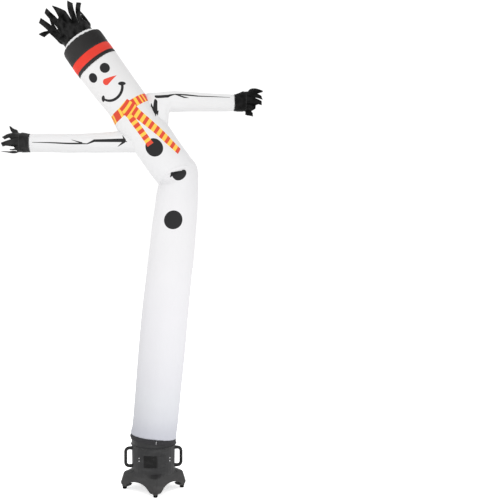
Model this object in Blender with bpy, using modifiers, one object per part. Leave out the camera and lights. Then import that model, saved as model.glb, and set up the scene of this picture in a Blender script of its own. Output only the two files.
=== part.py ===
"""Inflatable air dancer, a snowman, standing on its blower base.

The cloth figure is one long tube that a blower keeps full of air. It leans to
the right out of the collar, kinks at two thirds of its height and leans back
to the left. Two sleeves open into it, and its hat ends in a drawn-in hem with
a fringe of cloth strips. The hem at the foot is clamped on the blower's collar.

Sizes are in metres and angles in degrees, +Z is up, and -Y is the front. All
places are measured from the blower's axis at floor level; the empty named
"blower_axis" carries every piece to its place.
"""
import math
from collections import namedtuple

import bmesh
import bpy
from mathutils import Matrix, Vector

# Driving dimensions
AXIS_X = 0.1455             # where the blower's axis stands, so the whole is centred on X = 0
BASE_TURN = 4.0             # the blower is turned a little about Z
GAP = 0.0003                # clearance between pieces that touch
CLOTH = 0.0015              # thickness of the coated cloth
SIDES = 36                  # sides of the body tube and of all that fits round it
SLEEVE_SIDES = 16

# Blower base
DRUM_R = 0.1465              # at DRUM_MIDDLE_Z; the drum widens upwards by its draft
DRUM_MIDDLE_Z = 0.200
DRUM_DRAFT = 0.015
COLLAR_R = 0.1495
BEAD_R = 0.1550
BEAD_HALF = 0.0045
LOWER_BEAD_Z = 0.304
UPPER_BEAD_Z = 0.358
RIM_R = 0.1520
RIM_Z = 0.370
BORE_R = 0.1455
LEDGE_R = 0.1395
LEDGE_Z = 0.3625
DUCT_R = 0.1410
SKIRT_TOP_Z = 0.132
LEG_BOTTOM_Z = 0.020
HUB_BOTTOM_Z = 0.0155
HUB_R = 0.0175
FOOT_R = 0.0145
FOOT_REACH = 0.196
ARCH_HALF_WIDTH = 0.110
ARCH_MIDDLE_Z = 0.010
ARCH_RISE = 0.060
HANDLE_REACH = 0.190
HANDLE_R = 0.0112
HANDLE_LOW_Z = 0.1530
HANDLE_HIGH_Z = 0.2745
HANDLE_BEND_R = 0.024
PLATE_LOW_Z = 0.175
PLATE_HIGH_Z = 0.254
PLATE_THICKNESS = 0.0012
SCREW_ANGLE = 45.0
SCREW_ZS = (0.2115, 0.2310)
SCREW_HEAD_R = 0.0042
SCREW_HEAD_HEIGHT = 0.0022
GRILLE_SPOKES = 14
GRILLE_THICKNESS = 0.0025
GRILLE_BAR = 0.005
STRAP_LOW_Z = 0.3135
STRAP_HIGH_Z = 0.3455
STRAP_THICKNESS = 0.0025
STRAP_SLANT = 1.5

# Hem of the tube, clamped on the collar: height, outer radius
HEM_R = 0.1518
HEM = (
    (0.3220, HEM_R),
    (0.3508, HEM_R),
    (0.3540, 0.1566),
    (0.3580, 0.1581),
    (0.3640, 0.1581),
)

# One row for each main section of the body tube, from the hem to the hat. A section is
# given by its left and right edge points, its half depth, the depth of the fold there,
# and in how many steps the cloth runs on to the next section.
Section = namedtuple("Section", "left_x left_z right_x right_z depth fold steps")
BODY = (
    Section(-0.1552, 0.3760, 0.1560, 0.3735, 0.1558, 0.000, 1),
    Section(-0.1462, 0.3990, 0.1585, 0.3900, 0.1540, 0.000, 1),
    Section(-0.1405, 0.4700, 0.1660, 0.4500, 0.1545, 0.000, 1),
    Section(-0.1302, 0.6126, 0.1796, 0.5854, 0.1535, 0.000, 3),
    Section(-0.0834, 1.1636, 0.2284, 1.1364, 0.1520, 0.000, 3),
    Section(-0.0346, 1.7085, 0.2736, 1.6815, 0.1530, 0.000, 1),
    Section(-0.0150, 1.8200, 0.2866, 1.7950, 0.1550, 0.000, 1),
    Section(+0.0116, 1.9214, 0.2966, 1.9078, 0.1570, 0.000, 1),
    Section(+0.0288, 2.0036, 0.3007, 2.0173, 0.1580, 0.000, 1),
    Section(+0.0390, 2.0500, 0.3041, 2.0950, 0.1580, 0.002, 1),
    Section(+0.0411, 2.0740, 0.3045, 2.1520, 0.1560, 0.020, 1),
    Section(+0.0330, 2.0930, 0.2930, 2.2040, 0.1580, 0.004, 1),
    Section(-0.0027, 2.1372, 0.2439, 2.2742, 0.1550, -0.004, 1),
    Section(-0.0644, 2.2215, 0.1726, 2.3715, 0.1500, 0.000, 1),
    Section(-0.1247, 2.3023, 0.1080, 2.4670, 0.1490, 0.000, 1),
    Section(-0.1822, 2.3701, 0.0533, 2.5401, 0.1480, 0.000, 1),
    Section(-0.2398, 2.4379, 0.0024, 2.6125, 0.1470, 0.000, 1),
    Section(-0.2925, 2.5427, -0.0617, 2.7030, 0.1480, 0.000, 2),
    Section(-0.4000, 2.6750, -0.1630, 2.8462, 0.1490, 0.000, 2),
    Section(-0.5055, 2.8085, -0.2644, 2.9903, 0.1500, 0.000, 0),
)
FOLD_SPREAD = 34.0          # how far round the tube the fold's two cheeks reach
FOLD_PLACE = 48.0           # where they are deepest, measured from the inner side of the bend

# Hat: its pieces follow each other along a line that leaves the head's last section
HAT_LEAN_START = 37.0
HAT_LEAN_END = 34.0
HAT_EDGE_HEIGHT = 0.019
HAT_BAND_HEIGHT = 0.061
HatRing = namedtuple("HatRing", "height radius")
HAT_CROWN = (
    HatRing(0.0803, 0.1510),
    HatRing(0.125, 0.1515),
    HatRing(0.171, 0.1505),
    HatRing(0.184, 0.1470),
    HatRing(0.191, 0.1390),
    HatRing(0.1955, 0.1215),
)
TOP_HEM = (
    HatRing(0.1958, 0.1213),
    HatRing(0.2030, 0.1150),
    HatRing(0.2110, 0.1125),
)
HAIR_STRIP_LOW = 0.2114
HAIR_STRIP_HIGH = 0.2230
HAIR_R = 0.1120
HAIR_BACKING = 0.003

# Sleeves: top edge, bottom edge and half depth of each section
Sleeve = namedtuple("Sleeve", "top_x top_z bottom_x bottom_z depth")
LEFT_SLEEVE = (
    Sleeve(-0.0500, 2.4450, -0.0500, 2.2950, 0.0700),
    Sleeve(-0.1800, 2.4430, -0.1600, 2.2960, 0.0700),
    Sleeve(-0.3100, 2.4340, -0.2900, 2.2950, 0.0680),
    Sleeve(-0.4000, 2.4278, -0.4000, 2.2935, 0.0665),
    Sleeve(-0.4900, 2.4225, -0.4900, 2.2950, 0.0640),
    Sleeve(-0.5713, 2.4208, -0.5713, 2.2934, 0.0635),
    Sleeve(-0.7000, 2.4225, -0.7000, 2.2965, 0.0625),
    Sleeve(-0.8450, 2.4210, -0.8450, 2.2975, 0.0612),
)
LEFT_HAND = (
    Sleeve(-0.8453, 2.4210, -0.8453, 2.2975, 0.0612),
    Sleeve(-0.8700, 2.4255, -0.8700, 2.2975, 0.0620),
    Sleeve(-0.8950, 2.4290, -0.8950, 2.2965, 0.0640),
    Sleeve(-0.9000, 2.4290, -0.9000, 2.2965, 0.0640),
)
RIGHT_SLEEVE = (
    Sleeve(+0.5520, 2.6900, 0.5520, 2.5790, 0.0550),
    Sleeve(+0.4700, 2.6945, 0.4700, 2.5775, 0.0580),
    Sleeve(+0.3880, 2.6985, 0.3880, 2.5785, 0.0600),
    Sleeve(+0.2500, 2.7080, 0.2500, 2.5775, 0.0650),
    Sleeve(+0.1480, 2.7140, 0.1480, 2.5735, 0.0690),
    Sleeve(+0.1000, 2.7120, 0.1180, 2.5700, 0.0705),
    Sleeve(+0.0200, 2.7060, 0.1120, 2.5250, 0.0740),
    Sleeve(-0.0370, 2.7020, 0.1034, 2.4694, 0.0780),
    Sleeve(-0.1300, 2.6400, 0.0100, 2.4074, 0.0780),
)
RIGHT_HAND = (
    Sleeve(+0.6150, 2.7120, 0.6150, 2.5760, 0.0620),
    Sleeve(+0.6100, 2.7120, 0.6100, 2.5760, 0.0620),
    Sleeve(+0.5850, 2.7010, 0.5850, 2.5775, 0.0590),
    Sleeve(+0.5523, 2.6900, 0.5523, 2.5790, 0.0550),
)

# Cloth strips, evenly spaced round the backing they are sewn to. Each has its tip measured
# from the middle of that backing (sideways, in depth, and outwards), its width halfway and
# at the tip, and how far it twists on its way to turn its face to the front.
Strip = namedtuple("Strip", "side depth rise middle tip twist")
HAIR = (
    Strip(+0.132, +0.014, 0.176, 0.032, 0.014, 0.8),
    Strip(+0.164, +0.066, 0.188, 0.034, 0.028, 0.5),
    Strip(+0.138, +0.112, 0.210, 0.036, 0.030, 0.3),
    Strip(+0.100, +0.160, 0.212, 0.034, 0.026, 0.2),
    Strip(+0.052, +0.172, 0.252, 0.036, 0.030, 0.1),
    Strip(+0.002, +0.190, 0.230, 0.036, 0.012, 0.0),
    Strip(-0.046, +0.168, 0.262, 0.036, 0.030, 0.1),
    Strip(-0.100, +0.158, 0.222, 0.034, 0.026, 0.2),
    Strip(-0.142, +0.108, 0.252, 0.036, 0.022, 0.3),
    Strip(-0.188, +0.062, 0.214, 0.032, 0.030, 0.5),
    Strip(-0.210, +0.010, 0.160, 0.018, 0.030, 0.6),
    Strip(-0.153, -0.034, 0.252, 0.044, 0.042, 0.7),
    Strip(-0.112, -0.074, 0.234, 0.026, 0.016, 0.6),
    Strip(-0.076, -0.112, 0.289, 0.032, 0.028, 0.4),
    Strip(-0.020, -0.126, 0.292, 0.046, 0.010, 0.1),
    Strip(+0.014, -0.178, 0.200, 0.034, 0.030, 0.0),
    Strip(+0.091, -0.120, 0.244, 0.036, 0.034, 0.2),
    Strip(+0.096, -0.148, 0.172, 0.034, 0.020, 0.3),
    Strip(+0.147, -0.088, 0.202, 0.034, 0.034, 0.5),
    Strip(+0.126, -0.034, 0.148, 0.034, 0.014, 0.7),
)
LEFT_FINGERS = (
    Strip(+0.108, +0.004, 0.079, 0.032, 0.016, 0.9),
    Strip(+0.070, +0.052, 0.101, 0.036, 0.028, 0.6),
    Strip(+0.012, +0.064, 0.115, 0.038, 0.030, 0.1),
    Strip(-0.040, +0.050, 0.107, 0.036, 0.026, 0.5),
    Strip(-0.066, +0.004, 0.137, 0.028, 0.014, 0.9),
    Strip(-0.046, -0.046, 0.093, 0.034, 0.018, 0.6),
    Strip(-0.010, -0.056, 0.133, 0.038, 0.036, 0.1),
    Strip(+0.042, -0.042, 0.123, 0.036, 0.030, 0.5),
)
RIGHT_FINGERS = (
    Strip(+0.060, +0.006, 0.133, 0.032, 0.020, 0.9),
    Strip(+0.046, +0.050, 0.117, 0.036, 0.028, 0.6),
    Strip(+0.008, +0.062, 0.111, 0.038, 0.030, 0.1),
    Strip(-0.044, +0.050, 0.093, 0.036, 0.024, 0.5),
    Strip(-0.104, +0.004, 0.067, 0.032, 0.016, 0.9),
    Strip(-0.044, -0.044, 0.119, 0.036, 0.028, 0.6),
    Strip(+0.004, -0.056, 0.135, 0.040, 0.030, 0.1),
    Strip(+0.066, -0.044, 0.105, 0.036, 0.024, 0.5),
)
FINGER_STRIP_LENGTH = 0.009
FINGER_BACKING = 0.0025
STRIP_THICKNESS = 0.0018
STRIP_STATIONS = 4
STRIP_ROOT_SHARE = 0.88     # share of its own stretch of the backing that a strip fills

# Colour, roughness and metallic value of each material
FINISHES = {
    "white_cloth": ((0.90, 0.89, 0.92), 0.55, 0.0),
    "black_cloth": ((0.035, 0.038, 0.042), 0.55, 0.0),
    "red_cloth": ((0.86, 0.07, 0.055), 0.55, 0.0),
    "black_webbing": ((0.028, 0.028, 0.032), 0.75, 0.0),
    "charcoal_plastic": ((0.060, 0.060, 0.063), 0.45, 0.0),
    "plate_plastic": ((0.035, 0.035, 0.037), 0.25, 0.0),
    "black_rubber": ((0.006, 0.006, 0.006), 0.70, 0.0),
    "bright_steel": ((0.75, 0.75, 0.76), 0.30, 1.0),
}


def clear_scene():
    for obj in list(bpy.data.objects):
        bpy.data.objects.remove(obj, do_unlink=True)


def make_collection(name):
    collection = bpy.data.collections.new(name)
    bpy.context.scene.collection.children.link(collection)
    return collection


def finish(name):
    """The material of that name, made on first use."""
    if name in bpy.data.materials:
        return bpy.data.materials[name]
    colour, roughness, metallic = FINISHES[name]
    material = bpy.data.materials.new(name)
    material.use_nodes = True
    shader = material.node_tree.nodes["Principled BSDF"]
    shader.inputs["Base Color"].default_value = (*colour, 1.0)
    shader.inputs["Roughness"].default_value = roughness
    shader.inputs["Metallic"].default_value = metallic
    return material


def place(obj, collection):
    """Link an object to a collection and hang it on the blower's axis."""
    collection.objects.link(obj)
    obj.parent = AXIS
    return obj


def piece(name, shape, material):
    """A finished sub-part from a bmesh."""
    mesh = bpy.data.meshes.new(name)
    shape.to_mesh(mesh)
    shape.free()
    mesh.materials.append(finish(material))
    mesh.shade_smooth()
    mesh.set_sharp_from_angle(angle=math.radians(35))
    return place(bpy.data.objects.new(name, mesh), PARTS)


def cutter(name, shape):
    mesh = bpy.data.meshes.new(name)
    shape.to_mesh(mesh)
    shape.free()
    obj = place(bpy.data.objects.new(name, mesh), CUTTERS)
    obj.hide_render = True
    obj.display_type = "WIRE"
    return obj


def boolean(obj, tool, operation="DIFFERENCE"):
    modifier = obj.modifiers.new(tool.name, "BOOLEAN")
    modifier.operation = operation
    modifier.solver = "EXACT"
    modifier.object = tool


def line_with_cloth(obj):
    """Give an open sheet its thickness, inwards."""
    modifier = obj.modifiers.new("cloth", "SOLIDIFY")
    modifier.thickness = CLOTH
    modifier.offset = -1.0
    modifier.use_even_offset = True


def blend(start, end, share):
    return start + (end - start) * share


def round_angles(sides):
    return [math.radians(BASE_TURN) + math.tau * k / sides for k in range(sides)]


def circle(height, radius, angles):
    return [Vector((radius * math.cos(a), radius * math.sin(a), height)) for a in angles]


def loft(rings, close_ends):
    """Skin a list of closed rings, all wound the same way."""
    shape = bmesh.new()
    loops = [[shape.verts.new(point) for point in ring] for ring in rings]
    for low, high in zip(loops, loops[1:]):
        for k in range(len(low)):
            after = (k + 1) % len(low)
            shape.faces.new((low[k], low[after], high[after], high[k]))
    if close_ends:
        shape.faces.new(list(reversed(loops[0])))
        shape.faces.new(loops[-1])
    return shape


def ring_between(first, second, depth, angles, grow=0.0, fold=0.0):
    """An oval ring whose plane holds the two edge points and the Y direction."""
    middle = (first + second) / 2
    reach = (first - second) / 2
    reach += reach.normalized() * grow
    ring = []
    for angle in angles:
        from_inner = abs(math.degrees((angle + math.tau) % math.tau) - 180.0)
        cheek = math.exp(-((from_inner - FOLD_PLACE) / FOLD_SPREAD) ** 2)
        drawn_in = 1.0 - fold * cheek / max(depth, 1e-6)
        across = reach * math.cos(angle) * drawn_in
        ring.append(middle + across + Vector((0, (depth + grow) * math.sin(angle) * drawn_in, 0)))
    return ring


def smooth_between(before, start, end, after, share):
    """Catmull-Rom value between start and end."""
    slope_in = (end - before) / 2
    slope_out = (after - start) / 2
    square = share * share
    cube = square * share
    return (
        (2 * cube - 3 * square + 1) * start
        + (cube - 2 * square + share) * slope_in
        + (3 * square - 2 * cube) * end
        + (cube - square) * slope_out
    )


def body_rows():
    """The body's sections, with the steps between them filled in smoothly."""
    rows = []
    for index, row in enumerate(BODY):
        rows.append(row[:6])
        for step in range(1, row.steps):
            share = step / row.steps
            near = [BODY[min(max(index + k, 0), len(BODY) - 1)] for k in (-1, 0, 1, 2)]
            rows.append([smooth_between(*(n[c] for n in near), share) for c in range(6)])
    return rows


def body_rings(grow=0.0):
    angles = round_angles(SIDES)
    rings = [circle(height, radius + grow, angles) for height, radius in HEM]
    for left_x, left_z, right_x, right_z, depth, fold in body_rows():
        left = Vector((left_x, 0, left_z))
        right = Vector((right_x, 0, right_z))
        rings.append(ring_between(right, left, depth, angles, grow, fold))
    return rings


def hat_frame(height):
    """Middle of the hat at a height above its lower edge, and its two directions there."""
    last = BODY[-1]
    base = Vector(((last.left_x + last.right_x) / 2, 0, (last.left_z + last.right_z) / 2))
    share = min(height / HAT_CROWN[-1].height, 1.0)
    lean = math.radians(blend(HAT_LEAN_START, HAT_LEAN_END, share))
    half = math.radians(blend(HAT_LEAN_START, HAT_LEAN_END, share / 2))
    middle = base + Vector((-math.sin(half), 0, math.cos(half))) * height
    across = Vector((math.cos(lean), 0, math.sin(lean)))
    along = Vector((-math.sin(lean), 0, math.cos(lean)))
    return middle, across, along


def hat_ring(height, radius):
    middle, across, _ = hat_frame(height)
    edge = across * radius
    return ring_between(middle + edge, middle - edge, radius, round_angles(SIDES))


def sleeve_rings(rows, grow=0.0):
    angles = [math.tau * k / SLEEVE_SIDES for k in range(SLEEVE_SIDES)]
    rings = []
    for row in rows:
        top = Vector((row.top_x, 0, row.top_z))
        bottom = Vector((row.bottom_x, 0, row.bottom_z))
        rings.append(ring_between(top, bottom, row.depth, angles, grow))
    return rings


# Blower base

def drum_radius(height):
    return DRUM_R + DRUM_DRAFT * (height - DRUM_MIDDLE_Z)


def housing_angles():
    """The collar's angles, with two more beside the corner of each leg."""
    corner_steps = (0.0, 4.0, 10.0, 20.0, 30.0, 40.0, 50.0, 60.0, 70.0, 80.0, 86.0)
    return [
        math.radians(BASE_TURN + quarter * 90.0 + step)
        for quarter in range(4)
        for step in corner_steps
    ]


def skirt_ring(height, half_side, corner_cut, least_radius=0.0):
    """A square with blunt corners that comes no nearer the axis than least_radius."""
    ring = []
    corner = half_side * math.sqrt(2) - corner_cut
    for angle in housing_angles():
        from_face = math.radians((math.degrees(angle) - BASE_TURN) % 90.0 - 45.0)
        radius = max(min(half_side / math.cos(from_face), corner), least_radius)
        ring.append(Vector((radius * math.cos(angle), radius * math.sin(angle), height)))
    return ring


def housing_rings():
    """Up the outside from the legs to the rim, and back down the inside."""
    angles = housing_angles()
    shoulder = BEAD_HALF * 0.7
    outside = [
        skirt_ring(LEG_BOTTOM_Z, 0.1560, 0.010),
        skirt_ring(0.0300, 0.1625, 0.010),
        skirt_ring(0.0420, 0.1650, 0.010),
        skirt_ring(0.1070, 0.1482, 0.006),
        skirt_ring(0.1160, 0.1450, 0.008, drum_radius(0.1160)),
        circle(SKIRT_TOP_Z, drum_radius(SKIRT_TOP_Z), angles),
        circle(0.2975, drum_radius(0.2975), angles),
    ]
    for middle, radius_above in ((LOWER_BEAD_Z, COLLAR_R), (UPPER_BEAD_Z, RIM_R)):
        outside += [
            circle(middle - BEAD_HALF, COLLAR_R, angles),
            circle(middle - shoulder, BEAD_R - 0.002, angles),
            circle(middle, BEAD_R, angles),
            circle(middle + shoulder, BEAD_R - 0.002, angles),
            circle(middle + BEAD_HALF, radius_above, angles),
        ]
    outside.append(circle(RIM_Z, RIM_R, angles))
    inside = [
        circle(RIM_Z, BORE_R, angles),
        circle(LEDGE_Z, BORE_R, angles),
        circle(LEDGE_Z, LEDGE_R, angles),
        circle(LEDGE_Z - 0.005, LEDGE_R, angles),
        circle(LEDGE_Z - 0.009, BORE_R - 0.001, angles),
        circle(LOWER_BEAD_Z - 0.002, BORE_R - 0.001, angles),
        circle(LOWER_BEAD_Z - 0.010, DUCT_R + 0.002, angles),
        circle(SKIRT_TOP_Z - 0.004, DUCT_R, angles),
        skirt_ring(0.1120, 0.1395, 0.008, DUCT_R),
        skirt_ring(0.1040, 0.1432, 0.006, DUCT_R),
        skirt_ring(0.0440, 0.1590, 0.008),
        skirt_ring(0.0340, 0.1570, 0.010),
    ]
    return outside + inside


def turn_about_axis(shape, degrees):
    matrix = Matrix.Rotation(math.radians(degrees), 3, "Z")
    bmesh.ops.rotate(shape, cent=(0, 0, 0), matrix=matrix, verts=shape.verts)


def arch_cutter(name, degrees):
    """A long tunnel with an arched roof, square to two faces of the skirt."""
    shape = bmesh.new()
    bmesh.ops.create_cone(shape, cap_ends=True, segments=28, radius1=1, radius2=1, depth=0.6)
    along_x = Matrix.Rotation(math.radians(90), 3, "Y")
    bmesh.ops.rotate(shape, cent=(0, 0, 0), matrix=along_x, verts=shape.verts)
    bmesh.ops.scale(shape, vec=(1, ARCH_HALF_WIDTH, ARCH_RISE), verts=shape.verts)
    bmesh.ops.translate(shape, vec=(0, 0, ARCH_MIDDLE_Z), verts=shape.verts)
    turn_about_axis(shape, degrees)
    return cutter(name, shape)


def upright_cylinder(shape, x, y, low, high, radius, segments):
    middle = Matrix.Translation((x, y, (low + high) / 2))
    bmesh.ops.create_cone(
        shape,
        cap_ends=True,
        segments=segments,
        radius1=radius,
        radius2=radius,
        depth=high - low,
        matrix=middle,
    )


def foot_places():
    for quarter in range(4):
        angle = math.radians(BASE_TURN + 90.0 * quarter)
        yield FOOT_REACH * math.cos(angle), FOOT_REACH * math.sin(angle)


def make_housing():
    housing = piece("blower_housing", loft(housing_rings(), True), "charcoal_plastic")
    for number, degrees in enumerate((BASE_TURN + 45.0, BASE_TURN + 135.0), start=1):
        boolean(housing, arch_cutter(f"arch_{number}", degrees))
    hubs = bmesh.new()
    for x, y in foot_places():
        upright_cylinder(hubs, x, y, HUB_BOTTOM_Z, LEG_BOTTOM_Z + 0.006, HUB_R, 20)
    boolean(housing, cutter("leg_hubs", hubs), "UNION")


def make_feet():
    for number, (x, y) in enumerate(foot_places(), start=1):
        shape = bmesh.new()
        upright_cylinder(shape, x, y, 0.0, HUB_BOTTOM_Z - GAP, FOOT_R, 18)
        foot = piece(f"foot_{number}", shape, "black_rubber")
        edge = foot.modifiers.new("soft edge", "BEVEL")
        edge.width = 0.0012
        edge.segments = 1
        edge.limit_method = "ANGLE"


def handle_path():
    """Out from the drum, round two bends, and back in, in the plane of X and Z."""
    points = [(drum_radius(HANDLE_HIGH_Z) - 0.010, HANDLE_HIGH_Z, 1.30)]
    points.append((drum_radius(HANDLE_HIGH_Z) + 0.006, HANDLE_HIGH_Z, 1.08))
    bends = ((HANDLE_HIGH_Z - HANDLE_BEND_R, 90.0, 0.0), (HANDLE_LOW_Z + HANDLE_BEND_R, 0.0, -90.0))
    for middle_z, start, end in bends:
        for step in range(5):
            angle = math.radians(blend(start, end, step / 4))
            x = HANDLE_REACH - HANDLE_BEND_R + HANDLE_BEND_R * math.cos(angle)
            points.append((x, middle_z + HANDLE_BEND_R * math.sin(angle), 1.0))
    points.append((drum_radius(HANDLE_LOW_Z) + 0.006, HANDLE_LOW_Z, 1.08))
    points.append((drum_radius(HANDLE_LOW_Z) - 0.010, HANDLE_LOW_Z, 1.30))
    return points


def make_handle(name, side_turn, drum_tool):
    curve = bpy.data.curves.new(name, "CURVE")
    curve.dimensions = "3D"
    curve.bevel_depth = HANDLE_R
    curve.bevel_resolution = 3
    curve.use_fill_caps = True
    path = handle_path()
    spline = curve.splines.new("POLY")
    spline.points.add(len(path) - 1)
    for point, (x, z, swell) in zip(spline.points, path):
        point.co = (x, 0, z, 1)
        point.radius = swell
    guide = bpy.data.objects.new(name + "_path", curve)
    CUTTERS.objects.link(guide)
    bpy.context.view_layer.update()
    solid = bpy.data.meshes.new_from_object(
        guide.evaluated_get(bpy.context.evaluated_depsgraph_get())
    )
    bpy.data.objects.remove(guide)
    shape = bmesh.new()
    shape.from_mesh(solid)
    bmesh.ops.remove_doubles(shape, verts=shape.verts, dist=0.00005)
    bmesh.ops.recalc_face_normals(shape, faces=shape.faces)
    turn_about_axis(shape, side_turn)
    handle = piece(name, shape, "charcoal_plastic")
    boolean(handle, drum_tool)


def make_handles():
    angles = housing_angles()
    heights = (0.100, 0.2990)
    drum = [circle(z, drum_radius(z) + GAP, angles) for z in heights]
    drum_tool = cutter("drum_clearance", loft(drum, True))
    make_handle("handle_right", BASE_TURN, drum_tool)
    make_handle("handle_left", BASE_TURN + 180.0, drum_tool)


def make_front_plate():
    """A bare curved plate on the front of the drum, over one leg."""
    corner_steps = (-30.0, -20.0, -10.0, -4.0, 0.0, 4.0, 10.0, 20.0, 30.0)
    angles = [math.radians(BASE_TURN + 270.0 + step) for step in corner_steps]
    low, high = PLATE_LOW_Z, PLATE_HIGH_Z
    inner = [circle(z, drum_radius(z) + GAP, angles) for z in (low, high)]
    outer = [circle(z, drum_radius(z) + GAP + PLATE_THICKNESS, angles) for z in (low, high)]
    sections = [[outer[0][k], outer[1][k], inner[1][k], inner[0][k]] for k in range(len(angles))]
    shape = loft(sections, True)
    bmesh.ops.recalc_face_normals(shape, faces=shape.faces)
    piece("front_plate", shape, "plate_plastic")


def screw_head(name, middle, outward):
    """A domed head that stands on its middle point and faces outward."""
    shape = bmesh.new()
    bmesh.ops.create_cone(
        shape,
        cap_ends=True,
        segments=12,
        radius1=SCREW_HEAD_R,
        radius2=SCREW_HEAD_R * 0.62,
        depth=SCREW_HEAD_HEIGHT,
        matrix=Matrix.Translation((0, 0, SCREW_HEAD_HEIGHT / 2)),
    )
    turn = outward.to_track_quat("Z", "Y").to_matrix()
    bmesh.ops.rotate(shape, cent=(0, 0, 0), matrix=turn, verts=shape.verts)
    bmesh.ops.translate(shape, vec=middle, verts=shape.verts)
    piece(name, shape, "bright_steel")


def make_drum_screws():
    """Two pairs, in the middle of the drum's flats on each side of the plate."""
    number = 1
    flat_share = math.cos(math.radians(5))
    for side in (-1, 1):
        angle = math.radians(BASE_TURN + 270.0 + side * SCREW_ANGLE)
        outward = Vector((math.cos(angle), math.sin(angle), 0))
        for height in SCREW_ZS:
            middle = outward * (drum_radius(height) * flat_share + GAP)
            middle.z = height
            screw_head(f"drum_screw_{number}", middle, outward)
            number += 1


def make_grille():
    """A flat round guard: a hub, three rings and the spokes that join them."""
    stations = (0.030, 0.066, 0.066 + GRILLE_BAR, 0.102, 0.102 + GRILLE_BAR, 0.1365, 0.1443)
    half_spoke = math.degrees(GRILLE_BAR / 2 / stations[3])
    angles = []
    for spoke in range(GRILLE_SPOKES):
        middle = BASE_TURN + 360.0 * spoke / GRILLE_SPOKES
        angles += [math.radians(middle - half_spoke), math.radians(middle + half_spoke)]
    height = LEDGE_Z + GAP
    shape = bmesh.new()
    rows = [[shape.verts.new(point) for point in circle(height, r, angles)] for r in stations]
    shape.faces.new(rows[0])
    for index, (near, far) in enumerate(zip(rows, rows[1:])):
        is_ring = index % 2 == 1
        for k in range(len(angles)):
            if is_ring or k % 2 == 0:
                after = (k + 1) % len(angles)
                shape.faces.new((near[k], far[k], far[after], near[after]))
    grille = piece("grille", shape, "bright_steel")
    thickness = grille.modifiers.new("thickness", "SOLIDIFY")
    thickness.thickness = GRILLE_THICKNESS
    thickness.offset = 1.0
    top = height + GRILLE_THICKNESS + GAP
    for number in range(4):
        angle = math.radians(BASE_TURN + 45.0 + 90.0 * number)
        reach = (stations[-2] + stations[-1]) / 2
        middle = Vector((reach * math.cos(angle), reach * math.sin(angle), top))
        screw_head(f"grille_screw_{number + 1}", middle, Vector((0, 0, 1)))


def make_strap():
    angles = round_angles(SIDES)
    inner = HEM_R + GAP
    outer = inner + STRAP_THICKNESS
    profile = ((STRAP_LOW_Z, outer), (STRAP_HIGH_Z, outer), (STRAP_HIGH_Z, inner),
               (STRAP_LOW_Z, inner), (STRAP_LOW_Z, outer))
    shape = loft([circle(z, radius, angles) for z, radius in profile], False)
    bmesh.ops.remove_doubles(shape, verts=shape.verts, dist=0.00001)
    for vert in shape.verts:
        vert.co.z -= vert.co.x * math.tan(math.radians(STRAP_SLANT))
    piece("collar_strap", shape, "black_webbing")


# Cloth figure

def make_body():
    body = piece("body_tube", loft(body_rings(), False), "white_cloth")
    line_with_cloth(body)
    openings = (
        ("left_armhole", LEFT_SLEEVE[:3]),
        ("right_armhole", RIGHT_SLEEVE[4:]),
    )
    for name, rows in openings:
        boolean(body, cutter(name, loft(sleeve_rings(rows, -CLOTH), True)))


def make_sleeves():
    body_tool = cutter("body_clearance", loft(body_rings(GAP), True))
    for name, rows in (("arm_left", LEFT_SLEEVE), ("arm_right", RIGHT_SLEEVE)):
        sleeve = piece(name, loft(sleeve_rings(rows), False), "white_cloth")
        line_with_cloth(sleeve)
        boolean(sleeve, body_tool)
    for name, rows in (("hand_left", LEFT_HAND), ("hand_right", RIGHT_HAND)):
        line_with_cloth(piece(name, loft(sleeve_rings(rows), False), "black_cloth"))


def make_hat():
    band_top = HAT_EDGE_HEIGHT + HAT_BAND_HEIGHT
    radius = HAT_CROWN[0].radius
    edge = (HatRing(GAP, radius), HatRing(HAT_EDGE_HEIGHT, radius))
    band = (HatRing(HAT_EDGE_HEIGHT + GAP, radius), HatRing(band_top, radius))
    parts = (
        ("hat_edge", edge, "black_cloth"),
        ("hat_band", band, "red_cloth"),
        ("hat_crown", HAT_CROWN, "black_cloth"),
        ("top_hem", TOP_HEM, "white_cloth"),
    )
    for name, rings, material in parts:
        shape = loft([hat_ring(ring.height, ring.radius) for ring in rings], False)
        line_with_cloth(piece(name, shape, material))


Backing = namedtuple("Backing", "middle side rise side_radius depth_radius thickness length")


def strip_stations(backing, strip, angle, half_width):
    """Four corners of the strip at each station after its root."""
    back = Vector((0, 1, 0))
    handed = 1.0 if backing.side.cross(back).dot(backing.rise) > 0 else -1.0
    side_middle = backing.side_radius - backing.thickness / 2
    depth_middle = backing.depth_radius - backing.thickness / 2
    radial = backing.side * math.cos(angle) * side_middle
    radial += back * math.sin(angle) * depth_middle
    root = backing.middle + radial + backing.rise * (backing.length / 2)
    tip = backing.middle + backing.side * strip.side + back * strip.depth
    tip += backing.rise * strip.rise
    knee = root + backing.rise * (tip - root).length * 0.45
    tangent = (back * math.cos(angle) - backing.side * math.sin(angle)).normalized()
    faced = backing.side * (1.0 if math.sin(angle) <= 0.0 else -1.0)
    stations = []
    for step in range(1, STRIP_STATIONS + 1):
        share = step / STRIP_STATIONS
        middle = root * (1 - share) ** 2 + knee * 2 * share * (1 - share) + tip * share ** 2
        along = ((knee - root) * (1 - share) + (tip - knee) * share).normalized()
        if share <= 0.5:
            width = blend(half_width, strip.middle / 2, share * 2)
        else:
            width = blend(strip.middle / 2, strip.tip / 2, share * 2 - 1)
        across = tangent.lerp(faced, strip.twist * share)
        across = (across - along * across.dot(along)).normalized()
        face = across.cross(along) * handed * STRIP_THICKNESS / 2
        across = across * width
        stations.append((middle - across + face, middle + across + face,
                         middle + across - face, middle - across - face))
    return stations


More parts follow.
